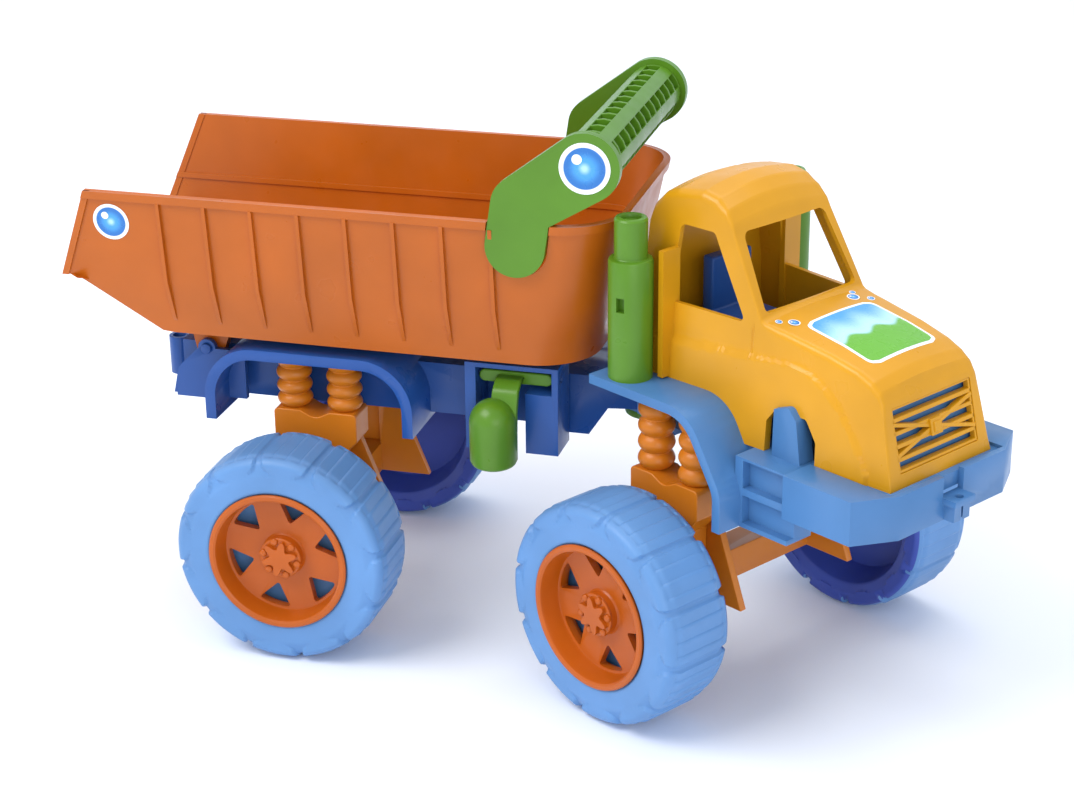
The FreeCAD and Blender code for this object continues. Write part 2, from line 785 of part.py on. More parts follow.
def bed_block(inset, proud=0.0, cavity=False):
    """The tub's solid, drawn in by inset and out by proud; a cavity is open behind and above."""
    move = inset - proud
    beyond, above = 30, 10
    levels = (("floor_z", "floor_half", "front_floor_x"), ("bend_z", "bend_half", "front_bend_x"),
              ("rim_z", "rim_half", "front_rim_x"))
    radius = size("front_round") - move
    rear = size("tail_x") - beyond
    wires = []
    for level, half_name, front_name in levels:
        z, half, front = size(level), size(half_name) - move, size(front_name) - move
        sideways = radius * math.sqrt(0.5)
        near, far = V(front - radius, -half + radius, z), V(front - radius, half - radius, z)
        points = [V(rear, -half, z), V(front - radius, -half, z), V(front, -half + radius, z),
                  V(front, half - radius, z), V(front - radius, half, z), V(rear, half, z)]
        edges = [
            Part.LineSegment(points[0], points[1]).toShape(),
            Part.Arc(points[1], near + V(sideways, -sideways, 0), points[2]).toShape(),
            Part.LineSegment(points[2], points[3]).toShape(),
            Part.Arc(points[3], far + V(sideways, sideways, 0), points[4]).toShape(),
            Part.LineSegment(points[4], points[5]).toShape(),
            Part.LineSegment(points[5], points[0]).toShape()]
        wires.append(Part.Wire(edges))
    tub = Part.makeLoft(wires, True, True)
    back = beyond if cavity else 0
    top = size("rim_z") + (above if cavity else 0)
    floor = size("floor_z") + (inset if cavity else 0)
    rise = inset if cavity else 0
    front_floor, front_rim = size("front_floor_x") + proud, size("front_rim_x") + proud
    corners = [
        (size("tail_rim_x") - back, top), (size("tail_x") - back, size("tail_z") + rise),
        (size("tail_x") - back, size("tail_lip_z") + rise),
        (size("tail_x") + size("tail_step"), size("tail_lip_z") + rise),
        (size("tail_floor_x"), floor), (front_floor, floor), (front_rim, size("rim_z"))]
    if cavity:
        corners.append((front_rim, top))
    side_view = profile_face(corners, {})
    if cavity:
        tub = tub.fuse(Part.Face(wires[2]).extrude(V(0, 0, above)))
    wide = size("rim_half") + above
    return tub.common(across(side_view, -wide, wide))


def bed_ribs():
    """Upright ribs round the tub and a thicker band under its rim, each a slice of a slightly larger tub."""
    wide = bed_block(0, size("rib_proud"))
    half, low, flange = size("rim_half") + 2 * size("rib_proud"), size("floor_z"), size("rim_flange")
    tail, front = size("tail_x") - 1, size("front_rim_x") + 2 * size("rib_proud")
    slices = [Part.makeBox(front - tail, 2 * half, flange, V(tail, -half, size("rim_z") - flange))]
    for index in range(int(size("rib_count"))):
        place = V(size("rib_first") + index * size("rib_pitch"), -half, low)
        slices.append(Part.makeBox(size("rib_wide"), 2 * half, size("rim_z") - low, place))
    return [wide.common(piece) for piece in slices]


def bed_feet():
    """Two rails under the floor, and the two lugs that hang on the hinge pin."""
    floor, rail_low, rail_wall = size("floor_z") + 1, size("rail_low"), size("rail_wall")
    hinge_x, hinge_z = size("hinge_x"), size("hinge_z")
    radius, lug_wall = size("lug_radius"), size("lug_wall")
    lug_face = profile_face([(hinge_x - radius, hinge_z), (hinge_x - size("lug_foot_rear"), floor),
                             (hinge_x + size("lug_foot_front"), floor), (hinge_x + radius, hinge_z)], {})
    pieces = []
    for side in SIDES.values():
        first = side * size("lug_y") - lug_wall / 2
        pieces.append(Part.makeBox(size("rail_length"), rail_wall, floor - rail_low,
                                   V(size("rail_rear"), side * size("rail_y") - rail_wall / 2, rail_low)))
        pieces.append(across(lug_face, first, first + lug_wall))
        pieces.append(Part.makeCylinder(radius, lug_wall, V(hinge_x, first, hinge_z), Y_AXIS))
    return pieces


def arm_slots():
    """Slots in both side walls that the handle's arms fill, leaning as the arms do."""
    radius = size("arm_radius") + size("arm_gap")
    half = size("rim_half") + radius
    foot = V(size("arm_x"), -half, size("arm_z"))
    mouth = Part.makeBox(2 * radius, 2 * half, 2 * radius, foot - V(radius, 0, 0))
    lean = math.degrees(math.atan2(size("elbow_x") - size("arm_x"), size("elbow_z") - size("arm_z")))
    mouth.rotate(foot, Y_AXIS, lean)
    return Part.makeCylinder(radius, 2 * half, foot, Y_AXIS).fuse(mouth)


def dump_bed():
    shape = bed_block(0).fuse(bed_ribs() + bed_feet()).cut(bed_block(size("bed_wall"), cavity=True))
    half = size("rim_half")
    pin = Part.makeCylinder(size("hinge_pin_radius") + size("running_gap"), 2 * half,
                            V(size("hinge_x"), -half, size("hinge_z")), Y_AXIS)
    return shape.cut([pin, arm_slots()]).removeSplitter()


finish(rear_unit, set_shape("dump_bed_shape", dump_bed()), "dump_bed")
hinge_pin = rod("hinge_pin", "hinge_pin_radius", "2 * (plate_y + pin_end)",
                ("hinge_x", "-plate_y - pin_end", "hinge_z"), Y_AXIS)
finish(rear_unit, hinge_pin, "bed_hinge_pin")

# --------------------------------------------------------------------------------------------------
# Handle: two bent flat arms that fill the bed's slots, and a pocketed grip tube between them
# --------------------------------------------------------------------------------------------------

def handle_arm(side_name, side):
    name = f"handle_{side_name}"
    start_y = "-arm_y" if side < 0 else "arm_y - arm_wall"
    rise = math.atan2(size("grip_z") - size("elbow_z"), size("grip_x") - size("elbow_x"))
    reach = "sqrt((grip_x - elbow_x)^2 + (grip_z - elbow_z)^2)"
    pieces = [
        rod(name + "_foot", "arm_radius", "arm_wall", ("arm_x", start_y, "arm_z"), Y_AXIS),
        rod(name + "_elbow", "arm_radius", "arm_wall", ("elbow_x", start_y, "elbow_z"), Y_AXIS),
        rod(name + "_disc", "disc_radius", "arm_wall", ("grip_x", start_y, "grip_z"), Y_AXIS)]
    shin_rise = math.atan2(size("elbow_z") - size("arm_z"), size("elbow_x") - size("arm_x"))
    shin_reach = "sqrt((elbow_x - arm_x)^2 + (elbow_z - arm_z)^2)"
    for part, start, angle, length in (("shin", ("arm_x", "arm_z"), shin_rise, shin_reach),
                                       ("shoulder", ("elbow_x", "elbow_z"), rise, reach)):
        bar = doc.addObject("Part::Box", f"{name}_{part}")
        bar.setExpression("Length", formula(length).replace("Sizes.sqrt", "sqrt"))
        bind(bar, Width="arm_wall", Height="2 * arm_radius")
        bar.Placement.Rotation = FreeCAD.Rotation(Y_AXIS, -math.degrees(angle))
        at(bar, f"{start[0]} + arm_radius * {math.sin(angle):.6f}", start_y,
           f"{start[1]} - arm_radius * {math.cos(angle):.6f}")
        pieces.append(bar)
    return fused(name, pieces)


def grip():
    """A tube between the arms with a row of square pockets above and one below."""
    inside = "arm_y - arm_wall"
    start = ("grip_x", f"-({inside})", "grip_z")
    tube = rod("grip_tube", "grip_radius", f"2 * ({inside})", start, Y_AXIS)
    bore = rod("grip_bore", "grip_radius - 2 * grip_wall", f"2 * ({inside})", start, Y_AXIS)
    solid = cut("grip_shell", tube, bore)
    doc.recompute()
    centre = V(size("grip_x"), 0, size("grip_z"))
    pocket, pitch, count = size("pocket_size"), size("pocket_pitch"), int(size("pocket_count"))
    depth_from = size("grip_radius") - size("grip_wall")
    first_row = size("pocket_turn")
    cutters = []
    for row_turn in (first_row, first_row + 180):
        for index in range(count):
            y = (index - (count - 1) / 2) * pitch
            cube = Part.makeBox(pocket, pocket, pocket, V(depth_from, y - pocket / 2, -pocket / 2))
            cube.rotate(V(0, 0, 0), Y_AXIS, -row_turn)
            cube.translate(centre)
            cutters.append(cube)
    tools = set_shape("grip_pockets", Part.makeCompound(cutters))
    return cut("grip", solid, tools)


for side_name, side in SIDES.items():
    finish(rear_unit, handle_arm(side_name, side), f"handle_arm_{side_name}")
finish(rear_unit, grip(), "handle_grip")

# --------------------------------------------------------------------------------------------------
# Front chassis: deck, yoke round the tongue's eye, wheel arches, side panels and the blocks beside the hood
# --------------------------------------------------------------------------------------------------

def front_arch(grow, low):
    """Outline of an arch from its rear end over the wheel and down to its front foot, drawn out by grow."""
    top, shoulder, knee = size("arch_top") + grow, size("arch_shoulder_u"), size("arch_knee_z")
    rear = size("arch_rear") - (size("arch_round") if grow < 0 else 0)
    front = size("arch_front") + grow
    corners = [(rear, low), (rear, top), (shoulder + 0.6 * grow, top), (front, knee + 0.3 * grow), (front, low)]
    radius = size("arch_round") + grow
    return profile_face(corners, {2: radius, 3: radius / 1.5})


def yoke():
    """Two tongues, above and below the rear unit's eye, and the web that joins them to the deck."""
    rear, half, wall, gap = size("deck_rear"), size("yoke_half"), size("yoke_wall"), size("yoke_gap")
    upper_low, lower_low = size("beam_top") + gap, size("tongue_low") - gap - wall
    web_wall, web_wide = size("yoke_web"), half + size("yoke_web")
    pieces = [Part.makeBox(web_wall, 2 * web_wide, upper_low + wall - lower_low, V(rear, -web_wide, lower_low))]
    for low in (upper_low, lower_low):
        pieces.append(Part.makeBox(rear + web_wall, 2 * half, wall, V(0, -half, low)))
        pieces.append(Part.makeCylinder(half, wall, V(0, 0, low)))
    return pieces


def front_arches():
    """The band over both front wheels, open between the deck's sides."""
    out, wall, low = size("arch_out"), size("wall"), size("arch_low")
    half, rear = size("deck_half") - wall, size("arch_rear") - 1
    band = across(front_arch(0, low), -out, out)
    inside = across(front_arch(-size("arch_wall"), low - 1), -out - 1, out + 1)
    between = Part.makeBox(size("deck_front") - rear, 2 * half, size("arch_top"), V(rear, -half, 0))
    return band.cut(inside).cut(between)


def side_panel(side):
    """Panel between an arch and the bumper, with two cells one above the other."""
    inner, out, wall = size("deck_half") - size("wall"), size("side_panel_out"), size("wall")
    rear, front = size("arch_front") - size("panel_lap"), size("bumper_rear")
    low, half_tall = size("arch_low"), (size("deck_top") - size("arch_low")) / 2
    depth = size("cell_depth")
    panel = Part.makeBox(front - rear, out - inner, 2 * half_tall, V(rear, inner if side > 0 else -out, low))
    cell = Part.makeBox(front - rear - 2 * wall, 2 * depth, half_tall - 1.5 * wall,
                        V(rear + 2 * wall, out - depth if side > 0 else -out - depth, low + wall))
    return panel.cut([cell, cell.translated(V(0, 0, half_tall))])


def side_block(side):
    """Upright block in the cab's notch, sloping at its top and its front."""
    rear, front, top, low = size("block_rear"), size("block_front"), size("block_top"), size("deck_low")
    bevel, lean, round_off = size("block_bevel"), size("block_lean"), size("block_round")
    face = profile_face([(rear + lean, low), (rear + lean + 1, top - round_off), (front - 2 * bevel, top),
                         (front - bevel - 1, top - bevel), (front - lean, low)], {2: round_off, 3: round_off})
    first = size("deck_half") - size("block_inside")
    if side < 0:
        first = -size("deck_half") - size("block_outside")
    return across(face, first, first + size("block_inside") + size("block_outside"))


def front_chassis():
    rear, half, low = size("deck_rear"), size("deck_half"), size("deck_low")
    deck = Part.makeBox(size("deck_front") - rear, 2 * half, size("deck_top") - low, V(rear, -half, low))
    pieces = [*yoke(), front_arches()]
    roof = size("arch_top") - size("arch_wall") + 1
    for side in SIDES.values():
        pieces += [side_panel(side), side_block(side)]
        for place in (-1, 1):
            column = V(size("front_axle_u") + place * size("spring_pitch") / 2, side * size("front_saddle_y"),
                       size("front_spring_top"))
            pieces.append(Part.makeCylinder(size("spring_neck") + 2, roof - column.z, column))
    bore = Part.makeCylinder(size("pin_radius"), size("arch_top"), V(0, 0, 0))
    return deck.fuse(pieces).cut(bore).removeSplitter()


finish(front_unit, set_shape("front_chassis_shape", front_chassis()), "front_chassis")


def articulation_pin():
    """Wide-headed pin pushed up through the yoke and the tongue's eye."""
    low = "tongue_low - yoke_gap - yoke_wall"
    top = "beam_top + yoke_gap + yoke_wall + pin_tip"
    head = f"{low} - head_wall"
    return turned_body("articulation", [
        (0, head), ("pin_head", head), ("pin_head", low), ("pin_radius", low),
        ("pin_radius", f"{top} - pin_tip / 2"), ("pin_radius - pin_tip / 2", top), (0, top)])


finish(front_unit, articulation_pin(), "articulation_pin")


def bumper_plan(inset, z):
    """The bumper's outline from above, drawn in by inset."""
    rear, corner, front = size("bumper_rear"), size("bumper_corner_u") - inset / 2, size("bumper_front") - inset
    half, nose = size("bumper_half") - inset, size("bumper_nose") - inset
    points = [V(rear, -half, z), V(corner, -half, z), V(front, -nose, z), V(front, nose, z), V(corner, half, z),
              V(rear, half, z)]
    return Part.Face(Part.makePolygon(points + points[:1]))


def towing_ear():
    """A small shelf at the nose on a foot of its own."""
    front, wall, low, ear_z = size("bumper_front"), size("bumper_wall"), size("bumper_low"), size("ear_z")
    half, reach = size("ear_half"), size("ear_reach")
    shelf = Part.makeBox(reach + wall, 2 * half, size("ear_wall"), V(front - wall, -half, ear_z))
    foot_half, foot_reach = half - size("ear_step"), reach - size("ear_step")
    foot = Part.makeBox(foot_reach + wall, 2 * foot_half, ear_z - low, V(front - wall, -foot_half, low))
    return [shelf, foot]


def bumper():
    """Hollow wrap-round bumper with a closed top, a slot at its middle and a towing ear."""
    wall, low, top, front = size("bumper_wall"), size("bumper_low"), size("bumper_top"), size("bumper_front")
    rear, half = size("bumper_rear") - 1, size("deck_half")
    inside = bumper_plan(wall, low).extrude(V(0, 0, top - low - wall))
    deck_room = Part.makeBox(size("deck_front") - rear, 2 * half, top - size("deck_low"),
                             V(rear, -half, size("deck_low")))
    slot_low, ear_half = size("ear_z") + size("ear_wall"), size("ear_half")
    slot = Part.makeBox(2 * wall, 2 * ear_half, top - slot_low, V(front - wall, -ear_half, slot_low))
    shell = bumper_plan(0, low).extrude(V(0, 0, top - low)).cut([inside, deck_room, slot])
    bore = Part.makeCylinder(size("ear_bore"), top, V(front + size("ear_reach") / 2, 0, 0))
    return shell.fuse(towing_ear()).cut(bore).removeSplitter()


finish(front_unit, set_shape("bumper_shape", bumper()), "front_bumper")

# --------------------------------------------------------------------------------------------------
# Cab: one thin shell of cabin and hood with open windows, the grille, the blue insert, and the two stacks
# --------------------------------------------------------------------------------------------------

def cab_block(inset):
    """The cab's solid, drawn in by inset: its side view, narrowed by sides that lean in upwards."""
    rear, front, low = size("cab_rear") + inset, size("cab_front"), size("deck_top")
    beyond = size("cab_wall") + 2
    levels = ((low, "cab_low_rear_half", "cab_low_front_half"),
              (size("cab_sill_z"), "cab_sill_rear_half", "cab_sill_front_half"),
              (size("roof_z") + beyond, "cab_top_rear_half", "cab_top_front_half"))
    wires = []
    for z, rear_half, front_half in levels:
        near, far = size(rear_half) - inset, size(front_half) - inset
        corners = [V(rear - beyond, -near, z), V(front + beyond, -far, z), V(front + beyond, far, z),
                   V(rear - beyond, near, z)]
        wires.append(Part.makePolygon(corners + corners[:1]))
    drop = low - (1 if inset else 0)
    side_view = profile_face([
        (rear, drop), (rear, size("roof_rear_z") - inset), (size("roof_crown_u"), size("roof_z") - inset),
        (size("roof_front_u") - inset, size("roof_front_z") - inset / 2),
        (size("cowl_u") - inset, size("cowl_z") - inset), (size("nose_u"), size("nose_z") - inset),
        (size("brow_u") - inset, size("brow_z") - inset / 2), (front - inset, drop)],
        {1: size("roof_rear_round"), 2: size("roof_round"), 3: size("visor_round"), 5: size("nose_round"),
         6: size("brow_round")})
    wide = size("cab_low_rear_half") + beyond
    return Part.makeLoft(wires, True, True).common(across(side_view, -wide, wide))


def cab_windows():
    """The two side windows in one cutter, and the windscreen."""
    low, high, wide = size("cab_sill_z"), size("window_top_z"), size("cab_low_rear_half")
    window_round = size("window_round")
    side_window = profile_face([
        (size("window_low_rear"), low), (size("window_low_front"), low), (size("window_top_front"), high),
        (size("window_top_rear"), high)], {corner: window_round for corner in range(4)})
    low_half, top_half = size("screen_low_half"), size("screen_top_half")
    foot = V(size("cowl_u"), 0, size("cowl_z") - 1)
    head = V(size("roof_front_u"), 0, size("roof_front_z") - size("screen_top_wall"))
    corners = [foot - Y_AXIS * low_half, foot + Y_AXIS * low_half, head + Y_AXIS * top_half,
               head - Y_AXIS * top_half]
    depth = 4 * size("cab_wall")
    screen = Part.Face(Part.makePolygon(corners + corners[:1])).translated(V(-depth, 0, 0))
    return [across(side_window, -wide, wide), screen.extrude(V(2.5 * depth, 0, 0))]


def cab_notch():
    """Cutter for the notch round a side block, clear of the block all round."""
    rear, front, top, low = size("block_rear"), size("block_front"), size("block_top"), size("deck_low")
    bevel, room, wide = size("block_bevel"), size("notch_room"), size("cab_low_rear_half")
    face = profile_face([(rear, low), (rear - room, top - bevel - room),
                         (front - 2 * bevel - 2, top + room / 2), (front - room - 1, top - bevel + 1),
                         (front + room, low)],
                        {2: size("block_round") + 1, 3: size("block_round") + 1})
    return across(face, -wide, wide)


def cab_shell():
    wall, wide, half = size("cab_wall"), size("arch_out"), size("grille_half")
    nose, low, high = size("nose_u"), size("grille_low"), size("grille_top")
    grille_hole = Part.makeBox(size("cab_front") - nose, 2 * half, high - low, V(nose, -half, low))
    arch = across(front_arch(size("arch_clear"), 0), -wide, wide)
    shape = cab_block(0).cut(cab_block(wall))
    return shape.cut([*cab_windows(), grille_hole, arch, cab_notch()]).removeSplitter()


finish(front_unit, set_shape("cab_shape", cab_shell()), "cab_shell")


def grille():
    """Horizontal slats crossed by two diagonal bars with a square boss, in the plane of the cab's front."""
    fit, wall, tall, count = size("grille_fit"), size("slat_wall"), size("slat_tall"), int(size("slat_count"))
    half, low, high = size("grille_half") - fit, size("grille_low") + fit, size("grille_top") - fit
    edge, boss_wide = size("grille_edge"), size("grille_boss")
    pitch = (high - low) / (count + 1)
    bars = [Part.makeBox(wall, 2 * half, tall, V(0, -half, low + (index + 1) * pitch - tall / 2))
            for index in range(count)]
    rim_bar = Part.makeBox(wall, 2 * half, high - low, V(0, -half, low)).cut(
        Part.makeBox(wall, 2 * (half - edge), high - low - 2 * edge, V(0, edge - half, low + edge)))
    slope = math.atan2((high - low) * size("cross_rise"), 2 * half)
    reach = (half - edge / 2) / math.cos(slope)
    middle = V(wall / 2, 0, (low + high) / 2)
    for sign in (-1, 1):
        bar = Part.makeBox(wall, 2 * reach, tall, V(-wall / 2, -reach, -tall / 2))
        bar.rotate(V(0, 0, 0), X_AXIS, sign * math.degrees(slope))
        bars.append(bar.translated(middle))
    corner = middle - V(wall / 2, boss_wide / 2, boss_wide / 2)
    bars.append(Part.makeBox(wall + edge, boss_wide, boss_wide, corner))
    shape = rim_bar.fuse(bars)
    lean = math.atan2(size("cab_front") - size("brow_u"), size("brow_z") - size("deck_top"))
    shape.rotate(V(0, 0, size("deck_top")), Y_AXIS, -math.degrees(lean))
    return shape.translated(V(size("cab_front") - wall - size("grille_set_back"), 0, 0)).removeSplitter()


finish(front_unit, set_shape("grille_shape", grille()), "grille")


def insert():
    """Blue insert under the cab shell: floor, seat, dash, and the panel seen behind the grille."""
    base, wall, half = size("deck_top"), size("wall"), size("insert_half")
    floor_z, front = base + size("insert_floor"), size("nose_u")
    rear, dash = size("deck_rear") + size("insert_rear"), size("cowl_u") - 2 * wall
    seat_u, seat_half, cushion = size("seat_u"), size("seat_half"), size("seat_cushion")
    seat_low, back = floor_z + wall, size("seat_back")
    pieces = [Part.makeBox(wall, 2 * half, floor_z - base, V(u, -half, base)) for u in (rear, dash)]
    pieces += [
        Part.makeBox(size("seat_length"), 2 * seat_half, cushion, V(seat_u, -seat_half, seat_low)),
        Part.makeBox(back, 2 * seat_half, size("seat_back_top") - seat_low,
                     V(seat_u - back / 2, -seat_half, seat_low)),
        Part.makeBox(size("dash_wall"), 2 * half - 2 * wall, size("cab_sill_z") - 1 - seat_low,
                     V(dash - size("dash_wall") - wall, wall - half, seat_low - 1)),
        Part.makeBox(wall, 2 * (half - wall), size("brow_z") - size("radiator_drop") - base,
                     V(front - wall, wall - half, base))]
    floor = Part.makeBox(front - rear, 2 * half, wall, V(rear, -half, floor_z))
    return floor.fuse(pieces).removeSplitter()


finish(front_unit, set_shape("insert_shape", insert()), "cab_insert")

for side_name, side in SIDES.items():
    stack = turned_body(f"stack_{side_name}_body", [
        (0, "arch_top"), ("stack_radius", "arch_top"), ("stack_radius", "stack_step - stack_edge"),
        ("stack_radius - stack_edge", "stack_step"), ("stack_top_radius", "stack_step"),
        ("stack_top_radius", "stack_top - stack_edge"), ("stack_top_radius - stack_edge", "stack_top"),
        (0, "stack_top")])
    at(stack, "stack_u", f"{side} * stack_y", 0)
    finish(front_unit, stack, f"stack_{side_name}")

# --------------------------------------------------------------------------------------------------
# Put the truck together, check it and write each sub-part
# --------------------------------------------------------------------------------------------------

doc.recompute()
turn = FreeCAD.Placement(V(size("pin_x"), 0, 0), FreeCAD.Rotation(Z_AXIS, size("turn_angle")))
for thing in front_unit:
    for letter in "xyz":
        thing.setExpression(f".Placement.Base.{letter}", None)
    thing.Placement = turn.multiply(thing.Placement)
doc.recompute()

whole = FreeCAD.BoundBox()
for thing in rear_unit + front_unit:
    whole.add(thing.Shape.optimalBoundingBox(False))
shift = FreeCAD.Placement(V(-whole.Center.x, -whole.Center.y, -whole.ZMin), FreeCAD.Rotation())
for thing in rear_unit + front_unit:
    for letter in "xyz":
        thing.setExpression(f".Placement.Base.{letter}", None)
    thing.Placement = shift.multiply(thing.Placement)
doc.recompute()

for thing in doc.Objects:
    if "Invalid" in thing.State or "Error" in thing.State:
        raise RuntimeError(f"{thing.Name} failed: {thing.State}")
os.makedirs("parts", exist_ok=True)
for thing in rear_unit + front_unit:
    if thing.Shape.isNull() or not thing.Shape.isValid() or not thing.Shape.Solids:
        raise RuntimeError(f"{thing.Label} has no valid solid")
    thing.Shape.exportStep(f"parts/{thing.Label}.step")
    print(f"{thing.Label}: {len(thing.Shape.Solids)} solid(s), {thing.Shape.Volume / 1000:.1f} cm3")
print("size", round(whole.XLength, 1), round(whole.YLength, 1), round(whole.ZLength, 1))
print("rear axle at", round(shift.Base.x, 3), round(shift.Base.y, 3), round(shift.Base.z, 3))
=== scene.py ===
# %% [markdown]
# # A sandpit dump truck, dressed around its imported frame
# The frame is the truck's construction: every moulding, axle and pin at its real size, already in place. This
# lesson adds the finish: treaded tyres, dished rims, a ribbed bed, a crowned cab, moulded springs and glossy
# plastic. Nothing in the frame is moved. Each new piece is drawn in millimetres in the truck's own directions and
# then carried into the frame in metres.

import json
import math

import bmesh
import bpy
from mathutils import Matrix, Vector

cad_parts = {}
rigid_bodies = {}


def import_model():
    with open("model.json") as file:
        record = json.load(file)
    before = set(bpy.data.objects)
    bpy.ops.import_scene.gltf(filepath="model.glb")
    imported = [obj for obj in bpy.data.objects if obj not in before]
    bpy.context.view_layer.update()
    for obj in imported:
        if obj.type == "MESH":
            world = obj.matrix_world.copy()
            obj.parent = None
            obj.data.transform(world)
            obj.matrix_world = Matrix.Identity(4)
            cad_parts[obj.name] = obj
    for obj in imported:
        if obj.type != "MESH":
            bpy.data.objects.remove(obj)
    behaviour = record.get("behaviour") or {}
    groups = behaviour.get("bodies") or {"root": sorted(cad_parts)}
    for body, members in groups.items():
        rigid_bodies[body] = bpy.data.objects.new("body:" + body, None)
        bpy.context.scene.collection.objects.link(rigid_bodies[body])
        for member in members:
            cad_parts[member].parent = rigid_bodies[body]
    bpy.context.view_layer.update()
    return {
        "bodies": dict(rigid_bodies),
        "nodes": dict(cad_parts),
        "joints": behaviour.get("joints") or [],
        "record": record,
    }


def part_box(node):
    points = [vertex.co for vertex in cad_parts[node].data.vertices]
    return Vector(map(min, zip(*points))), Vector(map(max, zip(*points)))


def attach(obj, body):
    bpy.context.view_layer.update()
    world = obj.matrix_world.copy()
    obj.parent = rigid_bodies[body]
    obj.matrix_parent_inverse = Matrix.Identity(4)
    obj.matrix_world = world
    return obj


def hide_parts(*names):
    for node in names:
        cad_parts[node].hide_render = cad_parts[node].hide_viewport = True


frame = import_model()

# %% [markdown]
# ## Where things are
# The truck bends in the middle. The rear unit points along +X and the front unit is turned about the steering pin.
# Two matrices carry millimetre drawings to their places: one for the rear unit, measured from the rear axle, and
# one for the front unit, measured from the pin. Both are read from the frame, so a change to it moves the looks too.

# %% Read the axle and the pin
MM = 0.001
SIDES = {"right": -1, "left": 1}
scale = Matrix.Scale(MM, 4)


def middle_of(node):
    low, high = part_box(node)
    return (low + high) / 2


def joint(name):
    return next(j for j in frame["joints"] if j["name"] == name)


rear_axle = middle_of("rear_axle_rod")
pin = Vector(joint("steer")["pos_m"])
front_axis = Vector(joint("front_right_wheel_spin")["axis"])
turn = math.atan2(-front_axis.x, front_axis.y)
REAR = Matrix.Translation((rear_axle.x, rear_axle.y, 0)) @ scale
FRONT = Matrix.Translation((pin.x, pin.y, 0)) @ Matrix.Rotation(turn, 4, "Z") @ scale
TYRE_RADIUS = rear_axle.z / MM
front_axle_u = (FRONT.inverted() @ middle_of("front_axle_rod")).x
WHEEL_INNER = (REAR.inverted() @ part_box("rear_left_tyre")[0]).y
print("turn", round(math.degrees(turn), 2), "tyre", round(TYRE_RADIUS, 2), "front axle", round(front_axle_u, 2))


def wheel_matrix(end, side):
    """A wheel's drawing has Z pointing outwards from its inner face."""
    unit, along = (REAR, 0) if end == "rear" else (FRONT, front_axle_u)
    outwards = Matrix.Rotation(-side * math.pi / 2, 4, "X")
    return unit @ Matrix.Translation((along, side * WHEEL_INNER, TYRE_RADIUS)) @ outwards


# %% [markdown]
# ## Moulded plastic
# Injection-moulded plastic looks like one colour, but it never is. Pigment flows unevenly, the gloss changes with
# the polish of the mould, and long walls are slightly wavy. One function makes the whole family: a slow noise
# shifts the colour a little, a second one the roughness, and two bumps add the wave and a fine grain. All of it
# reads Object coordinates, so nothing slides when a joint moves.

# %% Adding material nodes
def feed(tree, node, inputs):
    """Give inputs their values, or link them when the value is another node's output."""
    for name, value in inputs.items():
        if isinstance(value, bpy.types.NodeSocket):
            tree.links.new(value, node.inputs[name])
        else:
            node.inputs[name].default_value = value


def add(tree, kind, inputs=None, **properties):
    node = tree.nodes.new(kind)
    for name, value in properties.items():
        setattr(node, name, value)
    feed(tree, node, inputs or {})
    return node


def ramp(tree, source, low, high):
    """Map a noise to a run between two colours."""
    node = add(tree, "ShaderNodeValToRGB", {"Fac": source})
    for element, position, colour in zip(node.color_ramp.elements, (0.3, 0.7), (low, high)):
        element.position, element.color = position, colour
    return node.outputs["Color"]


def noise(tree, size_mm, detail=2.0):
    """Noise whose features are about size_mm across."""
    coordinates = add(tree, "ShaderNodeTexCoord").outputs["Object"]
    return add(tree, "ShaderNodeTexNoise", {"Vector": coordinates, "Scale": 1 / (size_mm * MM),
                                            "Detail": detail}).outputs["Fac"]


def spread(tree, source, low, high):
    """Map 0.3 to 0.7 of a noise to low to high."""
    return add(tree, "ShaderNodeMapRange", {"Value": source, "From Min": 0.3, "From Max": 0.7, "To Min": low,
                                            "To Max": high}).outputs["Result"]


# %% Bumps, plastics and steel
def bump(tree, height, strength, distance, **before):
    """A bump, on top of the one before if Normal gives it."""
    return add(tree, "ShaderNodeBump", {"Height": height, "Strength": strength, "Distance": distance,
                                        **before}).outputs["Normal"]


def blank_material(name):
    """A new material with its node tree and its shader."""
    material = bpy.data.materials.new(name)
    material.use_nodes = True
    return material, material.node_tree, material.node_tree.nodes["Principled BSDF"]


def moulded_plastic(name, colour, roughness=0.3, variation=0.10, grain_mm=0.9, grain=0.05, wave=0.06, coat=0.08):
    material, tree, shader = blank_material(name)
    darker = [c * (1 - variation) for c in colour] + [1]
    lighter = [min(1, c * (1 + variation * 0.6)) for c in colour] + [1]
    fine = bump(tree, noise(tree, grain_mm, 1.0), grain, 0.0002)
    feed(tree, shader, {
        "Base Color": ramp(tree, noise(tree, 55, 3.0), darker, lighter),
        "Roughness": spread(tree, noise(tree, 18), roughness - 0.06, roughness + 0.08),
        "Coat Weight": coat, "Coat Roughness": 0.12, "IOR": 1.49, "Specular IOR Level": 0.34,
        "Normal": bump(tree, noise(tree, 30, 1.0), wave, 0.002, Normal=fine)})
    return material


def painted_shade_on_back(material, shade_tint):
    """Painted shade: multiply the colour by a dark blue on the marked back faces, standing for their shadow."""
    tree = material.node_tree
    colour = tree.nodes["Principled BSDF"].inputs["Base Color"]
    shade_mark = add(tree, "ShaderNodeAttribute", attribute_name="wheel_back_shade").outputs["Fac"]
    blend = add(tree, "ShaderNodeMixRGB", {"Fac": shade_mark, "Color1": colour.links[0].from_socket,
                                           "Color2": (*shade_tint, 1)}, blend_type="MULTIPLY")
    tree.links.new(blend.outputs["Color"], colour)


def drawn_steel(name):
    """Bright rod with a soft, uneven polish."""
    material, tree, shader = blank_material(name)
    feed(tree, shader, {
        "Metallic": 1.0, "Roughness": spread(tree, noise(tree, 2), 0.22, 0.4),
        "Base Color": ramp(tree, noise(tree, 8), (0.42, 0.43, 0.45, 1), (0.62, 0.62, 0.63, 1))})
    return material


